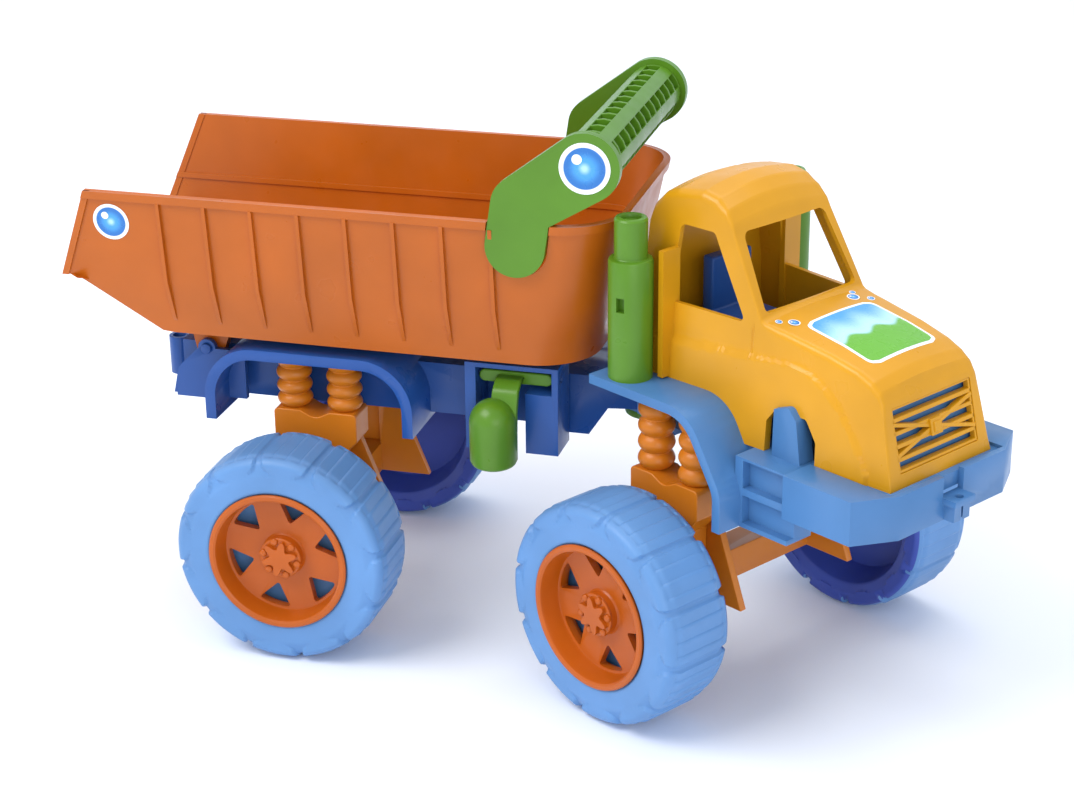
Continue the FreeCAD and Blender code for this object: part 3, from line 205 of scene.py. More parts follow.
# %% Mix the truck's colours
PAINT = {
    "tyre_blue": moulded_plastic("tyre_blue", (0.115, 0.265, 0.54), 0.42, 0.12, 1.2, 0.10, 0.10, 0.05),
    "rim_orange": moulded_plastic("rim_orange", (0.47, 0.095, 0.004), 0.36),
    "suspension_orange": moulded_plastic("suspension_orange", (0.60, 0.175, 0.008), 0.34),
    "axle_steel": drawn_steel("axle_steel"),
    "chassis_blue": moulded_plastic("chassis_blue", (0.018, 0.080, 0.31), 0.32),
    "body_blue": moulded_plastic("body_blue", (0.066, 0.190, 0.42), 0.34),
    "bed_orange": moulded_plastic("bed_orange", (0.47, 0.106, 0.004), 0.33),
    "cab_yellow": moulded_plastic("cab_yellow", (0.63, 0.292, 0.006), 0.33),
    "trim_green": moulded_plastic("trim_green", (0.088, 0.225, 0.012), 0.33),
}
# Painted shade: the tyres' inner faces and hollow are multiplied by a dark blue that stands for their shadow.
painted_shade_on_back(PAINT["tyre_blue"], (0.36, 0.28, 0.68))
print(len(PAINT), "finishes")

# %% [markdown]
# ## Turning drawings into pieces
# A drawing is a bmesh in millimetres. finish_piece carries it into the frame, keeps the object itself at the
# origin, rounds its sharp edges with a small bevel as a mould does, attaches it to what it rides on, gives it its
# finish and hides the frame nodes it stands for.

# %% Helpers that make pieces
SHARP_ANGLE = math.radians(32)


def soften(thing, width_mm, segments):
    """Round every sharp edge, as the corners of a mould are."""
    bevel = thing.modifiers.new("mould_radius", "BEVEL")
    bevel.width = width_mm * MM
    bevel.segments = segments
    bevel.limit_method = "ANGLE"
    bevel.angle_limit = SHARP_ANGLE
    bevel.harden_normals = True
    bevel.miter_outer = "MITER_ARC"


def baked(thing):
    """Apply a piece's modifiers and keep the plain mesh."""
    depsgraph = bpy.context.evaluated_depsgraph_get()
    mesh = bpy.data.meshes.new_from_object(thing.evaluated_get(depsgraph), depsgraph=depsgraph)
    thing.modifiers.clear()
    old, thing.data = thing.data, mesh
    bpy.data.meshes.remove(old)


def raw_piece(name, drawing, place=Matrix.Identity(4)):
    """An object at the origin whose mesh is the drawing carried by place."""
    drawing.transform(place)
    if place.determinant() < 0:
        bmesh.ops.reverse_faces(drawing, faces=drawing.faces)
    mesh = bpy.data.meshes.new(name)
    drawing.to_mesh(mesh)
    drawing.free()
    thing = bpy.data.objects.new(name, mesh)
    bpy.context.scene.collection.objects.link(thing)
    return thing


def drawing_back(thing, *used):
    """The drawing of a helper object, which is removed with the other objects it used."""
    baked(thing)
    drawing = bmesh.new()
    drawing.from_mesh(thing.data)
    for helper in (thing, *used):
        mesh = helper.data
        bpy.data.objects.remove(helper)
        bpy.data.meshes.remove(mesh)
    return drawing


def paint(thing, slot):
    thing.data.materials.clear()
    thing.data.materials.append(PAINT[slot])


# %% Finished pieces
def finish_piece(name, drawing, place, body, slot, replaces, round_mm, segments=2):
    """Make the piece, attach it to what it rides on, give it its finish and hide the frame nodes it stands for."""
    thing = raw_piece(name, drawing, place)
    for face in thing.data.polygons:
        face.use_smooth = True
    if round_mm:
        soften(thing, round_mm, segments)
        baked(thing)
    else:
        thing.data.set_sharp_from_angle(angle=SHARP_ANGLE)
    paint(thing, slot)
    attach(thing, body)
    if replaces:
        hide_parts(*replaces)
    print(name, len(thing.data.polygons), "faces")


def slot_of(node):
    return next(s["material_slot"] for s in frame["record"]["subparts"] if s["node"] == node)


def dress(node, look, drawing, place, round_mm, segments=2):
    """Make the piece that stands for a frame node, with the node's own body and finish."""
    body = next(name for name, empty in frame["bodies"].items() if frame["nodes"][node].parent == empty)
    finish_piece(f"{node}_{look}", drawing, place, body, slot_of(node), [node], round_mm, segments)


def softened(node, round_mm):
    """A merged copy of a frame node with rounded edges, which stands for it."""
    drawing = bmesh.new()
    drawing.from_mesh(frame["nodes"][node].data)
    bmesh.ops.remove_doubles(drawing, verts=drawing.verts, dist=0.00001)
    bmesh.ops.dissolve_limit(drawing, angle_limit=math.radians(0.6), verts=drawing.verts, edges=drawing.edges)
    dress(node, "moulded", drawing, Matrix.Identity(4), round_mm)


# %% [markdown]
# ## Drawing tools
# Three kinds of drawing cover most mouldings: a lathe turns a profile round an axis, a plate gives an outline a
# thickness, and a loft joins rings of points. Corners of an outline are rounded by arcs, never by lists of points.

# %% Outlines and plates
def rounded(corners, radii, steps=5):
    """An outline through corners with arcs: one radius, or the radii of some corners by their number."""
    if isinstance(radii, (int, float)):
        radii = dict.fromkeys(range(len(corners)), radii)
    points = []
    for index, corner in enumerate(corners):
        here = Vector(corner)
        radius = radii.get(index, 0)
        if not radius:
            points.append(here)
            continue
        before = (Vector(corners[index - 1]) - here).normalized()
        after = (Vector(corners[(index + 1) % len(corners)]) - here).normalized()
        half = before.angle(after) / 2
        reach = radius / math.tan(half)
        centre = here + (before + after).normalized() * radius / math.sin(half)
        first, last = here + before * reach - centre, here + after * reach - centre
        for step in range(steps + 1):
            points.append(centre + first.slerp(last, step / steps) * radius)
    return points


def on_circle(radius, angle, x=0.0, y=0.0):
    return x + radius * math.cos(angle), y + radius * math.sin(angle)


def plate(outline, thickness):
    """A solid from an outline in XY, standing up to thickness."""
    drawing = bmesh.new()
    low = [drawing.verts.new((x, y, 0)) for x, y in outline]
    high = [drawing.verts.new((x, y, thickness)) for x, y in outline]
    count = len(outline)
    drawing.faces.new(high)
    drawing.faces.new(low[::-1])
    for index in range(count):
        following = (index + 1) % count
        drawing.faces.new((low[index], low[following], high[following], high[index]))
    bmesh.ops.recalc_face_normals(drawing, faces=drawing.faces)
    return drawing


def side_plate(outline, low, high):
    """A solid from an outline in XZ between two values of Y."""
    drawing = plate(outline, high - low)
    drawing.transform(Matrix.Translation((0, high, 0)) @ Matrix.Rotation(math.pi / 2, 4, "X"))
    return drawing


def box(x, y, z):
    """A box between pairs of numbers."""
    drawing = bmesh.new()
    bmesh.ops.create_cube(drawing, size=1)
    for vert in drawing.verts:
        vert.co = Vector([pair[0] + (pair[1] - pair[0]) * (c + 0.5) for pair, c in zip((x, y, z), vert.co)])
    return drawing


# %% Lathe and loft
def lathe(profile, steps=96):
    """Turn an open profile of (radius, height) round Z; a radius of 0 closes the shape."""
    drawing = bmesh.new()
    rings = []
    for radius, height in profile:
        count = 1 if radius == 0 else steps
        rings.append([drawing.verts.new((*on_circle(radius, 2 * math.pi * i / steps), height))
                      for i in range(count)])
    for first, second in zip(rings, rings[1:]):
        for i in range(steps):
            corners = [first[i % len(first)], first[(i + 1) % len(first)],
                       second[(i + 1) % len(second)], second[i % len(second)]]
            unique = list(dict.fromkeys(corners))
            if len(unique) > 2:
                drawing.faces.new(unique)
    bmesh.ops.remove_doubles(drawing, verts=drawing.verts, dist=0.001)
    bmesh.ops.recalc_face_normals(drawing, faces=drawing.faces)
    return drawing


def loft(rings, closed=True, caps=True):
    """Skin rings of equally many points."""
    drawing = bmesh.new()
    rows = [[drawing.verts.new(point) for point in ring] for ring in rings]
    count = len(rows[0])
    for first, second in zip(rows, rows[1:]):
        for i in range(count if closed else count - 1):
            following = (i + 1) % count
            drawing.faces.new((first[i], first[following], second[following], second[i]))
    if caps:
        drawing.faces.new(rows[0][::-1])
        drawing.faces.new(rows[-1])
    bmesh.ops.recalc_face_normals(drawing, faces=drawing.faces)
    return drawing


# %% Join, move and cut
def joined(*drawings):
    """Several drawings as one."""
    whole = bmesh.new()
    for drawing in drawings:
        carrier = bpy.data.meshes.new("carrier")
        drawing.to_mesh(carrier)
        drawing.free()
        whole.from_mesh(carrier)
        bpy.data.meshes.remove(carrier)
    return whole


def moved(drawing, x=0.0, y=0.0, z=0.0):
    drawing.transform(Matrix.Translation((x, y, z)))
    return drawing


def stood_up(drawing, x, lean=0.0):
    """Stand a drawing up across X, leaning forwards by lean for each millimetre it goes down."""
    drawing.transform(Matrix(((0, -lean, 1, x), (1, 0, 0, 0), (0, 1, 0, 0), (0, 0, 0, 1))))
    bmesh.ops.recalc_face_normals(drawing, faces=drawing.faces)
    return drawing


def facing_out(drawing):
    """A closed drawing with every face turned outwards."""
    bmesh.ops.recalc_face_normals(drawing, faces=drawing.faces)
    if drawing.calc_volume(signed=True) < 0:
        bmesh.ops.reverse_faces(drawing, faces=drawing.faces)
    return drawing


def combined(base, tools, operation="DIFFERENCE"):
    """Cut, fuse or intersect drawings exactly."""
    result = raw_piece("base", facing_out(base))
    cutters = []
    for tool in tools:
        cutter = raw_piece("tool", facing_out(tool))
        modifier = result.modifiers.new("combine", "BOOLEAN")
        modifier.operation = operation
        modifier.solver = "EXACT"
        modifier.object = cutter
        cutters.append(cutter)
    return drawing_back(result, *cutters)


# %% [markdown]
# ## Repeating with Geometry Nodes
# Much of the truck repeats: tread lugs and wheel spokes go round an axle, while ribs, slats and spring coils stand
# in a row. Two small trees do all of it. Each takes one drawn element, repeats it, realises the copies because an
# export drops instances, welds seams and sets the material.

# %% Two repeating trees
def new_tree(name, inputs):
    tree = bpy.data.node_groups.new(name, "GeometryNodeTree")
    tree.interface.new_socket(name="Geometry", in_out="INPUT", socket_type="NodeSocketGeometry")
    tree.interface.new_socket(name="Geometry", in_out="OUTPUT", socket_type="NodeSocketGeometry")
    for label, kind in inputs.items():
        tree.interface.new_socket(name=label, in_out="INPUT", socket_type=kind)
    return tree, tree.nodes.new("NodeGroupInput"), tree.nodes.new("NodeGroupOutput")


def close_tree(tree, source, given, end):
    """Realise the copies, weld them and set the material."""
    real = add(tree, "GeometryNodeRealizeInstances", {"Geometry": source}).outputs["Geometry"]
    weld = add(tree, "GeometryNodeMergeByDistance", {"Geometry": real, "Distance": given.outputs["Weld"]})
    finish = add(tree, "GeometryNodeSetMaterial", {"Geometry": weld.outputs["Geometry"],
                                                   "Material": given.outputs["Material"]})
    tree.links.new(finish.outputs["Geometry"], end.inputs["Geometry"])
    return tree


def round_axis_tree():
    tree, given, end = new_tree("repeat_round_axis", {
        "Count": "NodeSocketInt", "Weld": "NodeSocketFloat", "Material": "NodeSocketMaterial"})
    count = given.outputs["Count"]
    points = add(tree, "GeometryNodePoints", {"Count": count}).outputs["Points"]
    step = add(tree, "ShaderNodeMath", {0: 2 * math.pi, 1: count}, operation="DIVIDE").outputs["Value"]
    index = add(tree, "GeometryNodeInputIndex").outputs["Index"]
    angle = add(tree, "ShaderNodeMath", {0: index, 1: step}, operation="MULTIPLY").outputs["Value"]
    turned = add(tree, "ShaderNodeCombineXYZ", {"Z": angle}).outputs["Vector"]
    copies = add(tree, "GeometryNodeInstanceOnPoints", {
        "Points": points, "Instance": given.outputs["Geometry"], "Rotation": turned})
    return close_tree(tree, copies.outputs["Instances"], given, end)


def row_tree():
    tree, given, end = new_tree("repeat_in_row", {
        "Count": "NodeSocketInt", "Step": "NodeSocketVector", "Weld": "NodeSocketFloat",
        "Material": "NodeSocketMaterial"})
    line = add(tree, "GeometryNodeMeshLine", {"Count": given.outputs["Count"], "Offset": given.outputs["Step"]},
               mode="OFFSET")
    copies = add(tree, "GeometryNodeInstanceOnPoints", {
        "Points": line.outputs["Mesh"], "Instance": given.outputs["Geometry"]})
    return close_tree(tree, copies.outputs["Instances"], given, end)


ROUND_AXIS, IN_ROW = round_axis_tree(), row_tree()
print(ROUND_AXIS.name, IN_ROW.name)


def repeated(element, tree, slot, weld_mm=0.01, **inputs):
    """Repeat a drawn element with a tree and give the result back as a drawing."""
    thing = raw_piece("element", element)
    modifier = thing.modifiers.new("repeat", "NODES")
    modifier.node_group = tree
    values = {"Weld": weld_mm, "Material": PAINT[slot], **inputs}
    for socket in tree.interface.items_tree:
        if socket.in_out == "INPUT" and socket.name in values:
            modifier[socket.identifier] = values[socket.name]
    return drawing_back(thing)


# %% [markdown]
# ## Tyres
# A blow-moulded tyre is one smooth skin whose tread is pushed out of it, so there are no separate blocks. Twelve
# broad lugs wrap over both shoulders and end in round tongues on the side walls; narrow grooves split each lug on
# the tread. The skin's height above the carcass is a formula over angle and distance along the profile. One
# twelfth is drawn and repeated round the axle.

# %% One twelfth of a tyre
LUG_COUNT = 12
TYRE_WIDTH = 50.0
RIM_SEAT = 44.0
LUG_HEIGHT = 2.0
BORE_RADIUS = 9.9
LUG_COLUMNS = 44
BARS = 4                # stepped bars across one lug
TONGUE = 9.0            # how far a lug's tongue runs down the side wall
SEAT_EDGE = (RIM_SEAT, TYRE_WIDTH - 2.5)
WEB_EDGE = (RIM_SEAT + 4, 24)


def soft_step(value, edge, blur):
    """0 below edge, 1 above it, smooth over blur."""
    t = min(1.0, max(0.0, (value - edge) / blur + 0.5))
    return t * t * (3 - 2 * t)


def tyre_profile():
    """Points (radius, height) of the carcass, 1 mm apart, from the rim's seat over the tread to the web."""
    crown = TYRE_RADIUS - LUG_HEIGHT
    corners = [SEAT_EDGE, (RIM_SEAT + 2.5, TYRE_WIDTH), (RIM_SEAT + 14, TYRE_WIDTH), (crown - 2.4, TYRE_WIDTH - 3.2),
               (crown, TYRE_WIDTH - 9), (crown, 9), (crown - 2.4, 3.2), (RIM_SEAT + 16, 0), (RIM_SEAT + 9, 3),
               WEB_EDGE]
    line = rounded(corners, {1: 1.5, 2: 8, 3: 6, 4: 6, 5: 6, 6: 6, 7: 2, 8: 2})
    lengths = [0.0]
    for a, b in zip(line, line[1:]):
        lengths.append(lengths[-1] + (b - a).length)
    profile = []
    for position in range(int(lengths[-1])):
        index = max(i for i, length in enumerate(lengths[:-1]) if length <= position)
        share = (position - lengths[index]) / (lengths[index + 1] - lengths[index])
        profile.append(line[index].lerp(line[index + 1], share))
    return [*profile, line[-1]]


def lug_height(angle, height, radius):
    """Height of the tread over the carcass; angle is in degrees within one lug's pitch."""
    pitch = 360 / LUG_COUNT
    across = angle - pitch / 2
    down_side = max(0.0, TYRE_RADIUS - LUG_HEIGHT - 1 - radius)
    half = 13.4 - 0.30 * down_side - 0.34 * max(0.0, down_side - TONGUE + 5) ** 2
    body = soft_step(half - abs(across), 0, 1.4) * soft_step(TONGUE - down_side, 0, 1.4)
    from_middle = abs(height - TYRE_WIDTH / 2)
    on_tread = soft_step(19.0 - from_middle, 0, 1.2)
    bar = (angle / pitch * BARS) % 1
    stepped = 0.30 + 0.70 * bar if from_middle < 19 else 1.0
    ledge = on_tread * (1 - stepped) * 0.75
    groove = on_tread * soft_step(0.10 - min(bar, 1 - bar), 0, 0.10) * 0.35
    side_relief = 1.0 + 0.25 * soft_step(down_side - 1, 0, 3)
    return LUG_HEIGHT * body * (1 - max(ledge, groove)) * side_relief


# %% The tyre's skin
def tyre_drawing():
    """One lug's share of the skin, repeated round the axle."""
    profile = tyre_profile()
    rows = []
    for index, point in enumerate(profile):
        before = profile[max(0, index - 1)]
        after = profile[min(len(profile) - 1, index + 1)]
        along = (after - before).normalized()
        normal = Vector((-along.y, along.x))
        if normal.dot(point - Vector((RIM_SEAT, TYRE_WIDTH / 2))) < 0:
            normal = -normal
        row = []
        in_hollow = point.y < 8 and point.x < TYRE_RADIUS - 16
        for column in range(LUG_COLUMNS + 1):
            degrees = 360 / LUG_COUNT * column / LUG_COLUMNS
            lift = 0.0 if in_hollow else lug_height(degrees, point.y, point.x)
            place = point + normal * lift
            row.append((*on_circle(min(place.x, TYRE_RADIUS), math.radians(degrees)),
                        min(max(place.y, 0), TYRE_WIDTH)))
        rows.append(row)
    return repeated(loft(rows, closed=False, caps=False), ROUND_AXIS, "tyre_blue", 0.02, Count=LUG_COUNT)


# %% [markdown]
# The web is the blue disc behind the orange rim. It closes the tyre, carries the hub tube and shows through the
# rim's windows, so it is turned on its own and joined to the tread.

# %% Web and hub tube, and the four tyres
def web_drawing():
    back, front, bore, tube_end = 24, 27, 4.3, 40
    return lathe([WEB_EDGE, (BORE_RADIUS + 3, back), (BORE_RADIUS, back - 2), (BORE_RADIUS, 1),
                  (BORE_RADIUS - 1, 0.2), (bore, 0.2), (bore, tube_end), (BORE_RADIUS, tube_end),
                  (BORE_RADIUS, front + 1), (BORE_RADIUS + 1.5, front), (RIM_SEAT, front), SEAT_EDGE],
                 LUG_COUNT * LUG_COLUMNS)


def mark_shaded_back(drawing):
    """Mark the face turned to the truck's middle and its hollow for painted shade, standing for their shadow."""
    shade_mark = drawing.faces.layers.float.new("wheel_back_shade")
    for face in drawing.faces:
        middle = face.calc_center_median()
        in_hollow = middle.xy.length < RIM_SEAT + 14 and middle.z < 24.5
        face[shade_mark] = 1.0 if face.normal.z < -0.5 or in_hollow else 0.0


# How far the treads and the rims are turned from each other, in degrees.
TREAD_TURN, RIM_TURN = {"rear": 9, "front": 21}, {"rear": 17, "front": 41}
wheels = [(end, side_name, side) for end in ("rear", "front") for side_name, side in SIDES.items()]
for end, side_name, side in wheels:
    whole = joined(tyre_drawing(), web_drawing())
    bmesh.ops.remove_doubles(whole, verts=whole.verts, dist=0.02)
    bmesh.ops.recalc_face_normals(whole, faces=whole.faces)
    # Painted shade on the face turned to the truck's middle and its hollow.
    mark_shaded_back(whole)
    whole.transform(Matrix.Rotation(math.radians(TREAD_TURN[end]), 4, "Z"))
    dress(f"{end}_{side_name}_tyre", "treaded", whole, wheel_matrix(end, side), 0)

# %% [markdown]
# ## Rims
# The orange rim is a deep dish. Its lip is rolled over the tyre, a round wall runs down to a plate, and six
# windows with curved outer edges leave broad spokes that widen to the hub. One window is drawn, repeated six times
# and cut out. A concave six-pointed star with a round stud between its points closes the hub.

# %% Rims
SPOKES = 6
PLATE_Z = 33.0
BOSS_TOP = 43.4


def window_outline():
    """Rounded triangle with a curved outer side, pointing to the hub."""
    inner, outer, half = 21.0, 37.4, math.radians(16.5)
    arc = [on_circle(outer, half * i / 4) for i in range(-4, 5)]
    return rounded([(inner, 0), *arc], {0: 1.4, 1: 1.4, 9: 1.4}, 4)


def rim_drawing():
    """Rolled lip, round wall, plate with windows, and the boss that the hub cap is pressed on."""
    lip, face = TYRE_WIDTH + 1.9, PLATE_Z + 5
    dish = lathe([(8.8, PLATE_Z), (8.8, BOSS_TOP), (12.2, BOSS_TOP), (12.8, BOSS_TOP - 0.6), (13.4, face + 1.4),
                  (14.4, face + 0.3), (16, face), (38, face), (39, face + 0.5), (39.6, face + 2.2), (40.4, lip - 3),
                  (41.2, lip - 0.8), (42.4, lip), (44.4, lip), (45.4, lip - 0.7), (45.6, lip - 1.5), (44.9, lip - 2),
                  (43.9, lip - 2.2), (43.9, PLATE_Z - 3), (39, PLATE_Z - 3), (38.6, PLATE_Z), (8.8, PLATE_Z)], 144)
    cutters = repeated(moved(plate(window_outline(), 12), z=PLATE_Z - 4), ROUND_AXIS, "rim_orange", Count=SPOKES)
    return combined(dish, [cutters])


def hub_drawing():
    """Base disc, concave six-pointed star and a round stud between its points."""
    base = lathe([(0, BOSS_TOP), (12.8, BOSS_TOP), (13.6, BOSS_TOP + 0.5), (13.6, BOSS_TOP + 1.2),
                  (12.9, BOSS_TOP + 1.8), (0, BOSS_TOP + 1.8)], 72)
    angles = [2 * math.pi * i / 96 for i in range(96)]
    star = plate([on_circle(6.6 + 5.4 * ((1 + math.cos(SPOKES * a)) / 2) ** 1.3, a) for a in angles], 3.2)
    moved(star, z=BOSS_TOP + 1.2)
    dome = [(2.5 * math.cos(a), 1.6 + 1.4 * math.sin(a)) for a in [math.pi / 2 * i / 6 for i in range(6)]]
    stud = moved(lathe([(0, 0), (2.5, 0), *dome, (0, 3.0)], 20), x=11.4, z=BOSS_TOP + 0.6)
    stud.transform(Matrix.Rotation(math.pi / SPOKES, 4, "Z"))
    studs = repeated(stud, ROUND_AXIS, "rim_orange", Count=SPOKES)
    return joined(base, star, studs)


for end, side_name, side in wheels:
    turned_by = Matrix.Rotation(math.radians(RIM_TURN[end]), 4, "Z")
    for kind, make, radius in (("rim", rim_drawing, 0), ("hub_cap", hub_drawing, 0.7)):
        dress(f"{end}_{side_name}_{kind}", "finished", make(), wheel_matrix(end, side) @ turned_by, radius, 3)

# %% [markdown]
# ## The dump bed
# The bed is one thin moulding: a tub with large round front corners, side walls that bend inwards half way down,
# and a floor that climbs to the tail. Because the wall follows a rule, it is skinned from sections. Each section
# runs down the outside wall at one place of the plan outline, from the rim over the bend to the floor's edge. The
# wall then gets its thickness, a thicker rim, and a thin upright rib at every bay, repeated by the row tree.

# %% Bed outline by level
BED_LEVELS = {"rim": (288.0, 91.0, 203.0), "bend": (230.0, 84.0, 192.0), "floor": (192.0, 74.0, 183.0)}
BED_WALL = 2.6
TAIL_RIM_X, TAIL_X, TAIL_Z, TAIL_FLOOR_X = -134.0, -157.0, 229.0, -94.0
TAIL_TOE_X = TAIL_X + 11
FRONT_ROUND = 38.0


def floor_height(x):
    """The floor's outside: level, then rising to the tail."""
    low = BED_LEVELS["floor"][0]
    share = min(1.0, max(0.0, (TAIL_FLOOR_X - x) / (TAIL_FLOOR_X - TAIL_TOE_X)))
    return low + share * (TAIL_Z - 1 - low)


def half_width(z):
    """Outside half width of the tub's straight sides at a height."""
    low, high = ("floor", "bend") if z < BED_LEVELS["bend"][0] else ("bend", "rim")
    (z0, h0, _), (z1, h1, _) = BED_LEVELS[low], BED_LEVELS[high]
    return h0 + (h1 - h0) * (z - z0) / (z1 - z0)


def wall_section(name, t, grow=0.0):
    """Point of one level at t: -1 to 0 along the right side, 0 to 1 round the right front corner."""
    z, half, front = BED_LEVELS[name]
    half, front, radius = half + grow, front + grow, FRONT_ROUND + grow
    if t <= 0:
        rear = {"rim": TAIL_RIM_X, "bend": TAIL_X, "floor": TAIL_TOE_X}[name]
        x = front - radius + (front - radius - rear) * t
        if name == "floor" and x < TAIL_FLOOR_X:
            z = floor_height(x)
            half = half_width(z) + grow
        return Vector((x, -half, z))
    angle = math.radians(-90 + 90 * t)
    return Vector((front - radius + radius * math.cos(angle), radius - half + radius * math.sin(angle), z))


def places(along_side):
    """Values of t along the right side and round the corner."""
    return [-1 + i / along_side for i in range(along_side)] + [i / 12 for i in range(13)]


def both_sides(rings):
    """The right side's rings, then the same rings mirrored from the front back to the tail."""
    return rings + [[Vector((p.x, -p.y, p.z)) for p in ring] for ring in reversed(rings)]


# %% Bed tub
def wall_ring(t):
    rim, bend, floor = (wall_section(name, t) for name in BED_LEVELS)
    return [rim, rim.lerp(bend, 0.35), rim.lerp(bend, 0.7), bend, bend.lerp(floor, 0.5), floor]


def bed_drawing():
    """The skin of walls and floor, from the right tail round the front to the left tail."""
    rings = both_sides([wall_ring(t) for t in places(40)])
    drawing = loft(rings, closed=False, caps=False)
    drawing.verts.ensure_lookup_table()
    foot = [drawing.verts[len(rings[0]) * (i + 1) - 1] for i in range(len(rings))]
    for i in range(len(rings) // 2 - 1):
        drawing.faces.new((foot[i], foot[i + 1], foot[-2 - i], foot[-1 - i]))
    bmesh.ops.recalc_face_normals(drawing, faces=drawing.faces)
    return drawing


def outward(drawing, centre):
    """Turn an open skin's faces away from centre."""
    total = sum((face.calc_center_median() - centre).dot(face.normal) * face.calc_area() for face in drawing.faces)
    if total < 0:
        bmesh.ops.reverse_faces(drawing, faces=drawing.faces)
    return drawing


def thickened(drawing, wall):
    """Give an open skin its wall, inwards."""
    thing = raw_piece("skin", drawing)
    wall_maker = thing.modifiers.new("wall", "SOLIDIFY")
    wall_maker.thickness = wall
    wall_maker.offset = -1
    wall_maker.use_even_offset = True
    return drawing_back(thing)


def rim_band():
    """The rolled rim: a band proud of the wall under the bed's top edge."""
    rings = []
    for t in places(20):
        top = wall_section("rim", t)
        down = (wall_section("bend", t) - top).normalized()
        out = wall_section("rim", t, 2.0) - top
        out.z = 0
        low = top + down * 5.5
        rings.append([top - out * 1.2, top + out, low + out, low - out * 1.2])
    return loft(both_sides(rings))


def inner_ledge():
    """A low step along the inside of the walls, a little above the bend."""
    rings = []
    for t in places(20):
        top, bend = wall_section("rim", t), wall_section("bend", t)
        out = (wall_section("rim", t, 1.0) - top).normalized()
        wall = -out * (BED_WALL - 0.4)
        high, low = top.lerp(bend, 0.70) + wall, top.lerp(bend, 0.76) + wall
        rings.append([high, high - out * 1.6, low - out * 1.6, low])
    return loft(both_sides(rings))


def tail_edge(side):
    """The thickened rear edge of one side wall."""
    rings = []
    for share in (0, 0.5, 1):
        z = BED_LEVELS["rim"][0] + (TAIL_Z - BED_LEVELS["rim"][0]) * share
        x = TAIL_RIM_X + (TAIL_X - TAIL_RIM_X) * share
        inner, outer = side * (half_width(z) - BED_WALL - 0.6), side * (half_width(z) + 1.2)
        rings.append([(x, inner, z), (x + 4.5, inner, z), (x + 4.5, outer, z), (x, outer, z)])
    return facing_out(loft(rings))


# %% Ribs
RIB_FIRST, RIB_PITCH, RIB_COUNT = -86.0, 30.5, 8


def rib_drawing():
    """One rib on the right wall: thin, proud of the wall, ending in a tooth below the bend."""
    rim_half, bend_half, floor_half = (half for _, half, _ in BED_LEVELS.values())
    outline = [(-(rim_half + 1.6), 283), (-(bend_half + 3.0), 230), (-(floor_half + 4.6), 205),
               (-(floor_half + 1.2), 199), (-(floor_half - 1), 197), (-(bend_half - 1.5), 229),
               (-(rim_half - 1.5), 283)]
    return stood_up(plate(outline, 2.4), RIB_FIRST)


def mirrored(drawing):
    copy = drawing.copy()
    copy.transform(Matrix.Scale(-1, 4, (0, 1, 0)))
    bmesh.ops.reverse_faces(copy, faces=copy.faces)
    return copy


ribs = repeated(rib_drawing(), IN_ROW, "bed_orange", Count=RIB_COUNT, Step=(RIB_PITCH, 0, 0))
rib_pair = joined(mirrored(ribs), ribs)


# %% Slots for the handle's arms, rails and lugs
ARM_X, ARM_Z, ELBOW_X, ELBOW_Z, GRIP_X, GRIP_Z = 144.0, 273.0, 148.0, 299.0, 187.0, 325.0
ARM_RADIUS, DISC_RADIUS, ARM_WALL, ARM_Y = 18.5, 21.0, 6.0, 92.0


def arm_slot():
    """A cutter with the shape of an arm's foot and shin, a little wider, through both walls."""
    radius, top, half = ARM_RADIUS + 0.9, 40, 110
    shift = (ELBOW_X - ARM_X) / (ELBOW_Z - ARM_Z) * top
    arc = [on_circle(radius, math.pi + math.pi * i / 24, ARM_X, ARM_Z) for i in range(25)]
    outline = [*arc, (ARM_X + radius + shift, ARM_Z + top), (ARM_X - radius + shift, ARM_Z + top)]
    return side_plate(outline, -half, half)


hinge = REAR.inverted() @ middle_of("bed_hinge_pin")


RAIL_Y, LUG_Y, LUG_HALF = 55, 41, 3.5


def bed_lugs_and_rails():
    pieces = []
    for side in SIDES.values():
        rail = rounded([(-58, 200), (-58, 187.5), (98, 187.5), (98, 200)], {1: 5, 2: 10})
        pieces.append(side_plate(rail, side * RAIL_Y - 6, side * RAIL_Y + 6))
        lug = rounded([(hinge.x - 8, hinge.z - 8), (hinge.x + 8, hinge.z - 8), (hinge.x + 18, 193),
                       (hinge.x - 14, 193)], {0: 7.5, 1: 7.5}, 8)
        pieces.append(side_plate(lug, side * LUG_Y - LUG_HALF, side * LUG_Y + LUG_HALF))
    return pieces


# %% The finished bed
tub = combined(thickened(outward(bed_drawing(), Vector((0, 0, 400))), BED_WALL), [arm_slot()])
rim = combined(rim_band(), [arm_slot()])
bed = joined(tub, rim, inner_ledge(), tail_edge(-1), tail_edge(1), rib_pair, *bed_lugs_and_rails())
dress("dump_bed", "ribbed", bed, REAR, 0.7)

# %% [markdown]
# ## Handle
# Two flat bent arms carry a round grip. Each arm's outline is three circles joined by straight edges. The grip is
# hollow and shows rows of square pockets between narrow webs, so it is skinned as a grid and the pocket cells are
# pushed inwards.

# %% Arms
def hull_of_circles(first, second, steps=28):
    """Outline round two circles given as (x, z, radius)."""
    (x0, z0, r0), (x1, z1, r1) = first, second
    heading = math.atan2(z1 - z0, x1 - x0)
    lean = math.acos((r0 - r1) / math.hypot(x1 - x0, z1 - z0))
    points = []
    for (x, z, radius), start, end in ((second, heading - lean, heading + lean),
                                       (first, heading + lean, heading - lean + 2 * math.pi)):
        points += [on_circle(radius, start + (end - start) * step / steps, x, z) for step in range(steps + 1)]
    return points


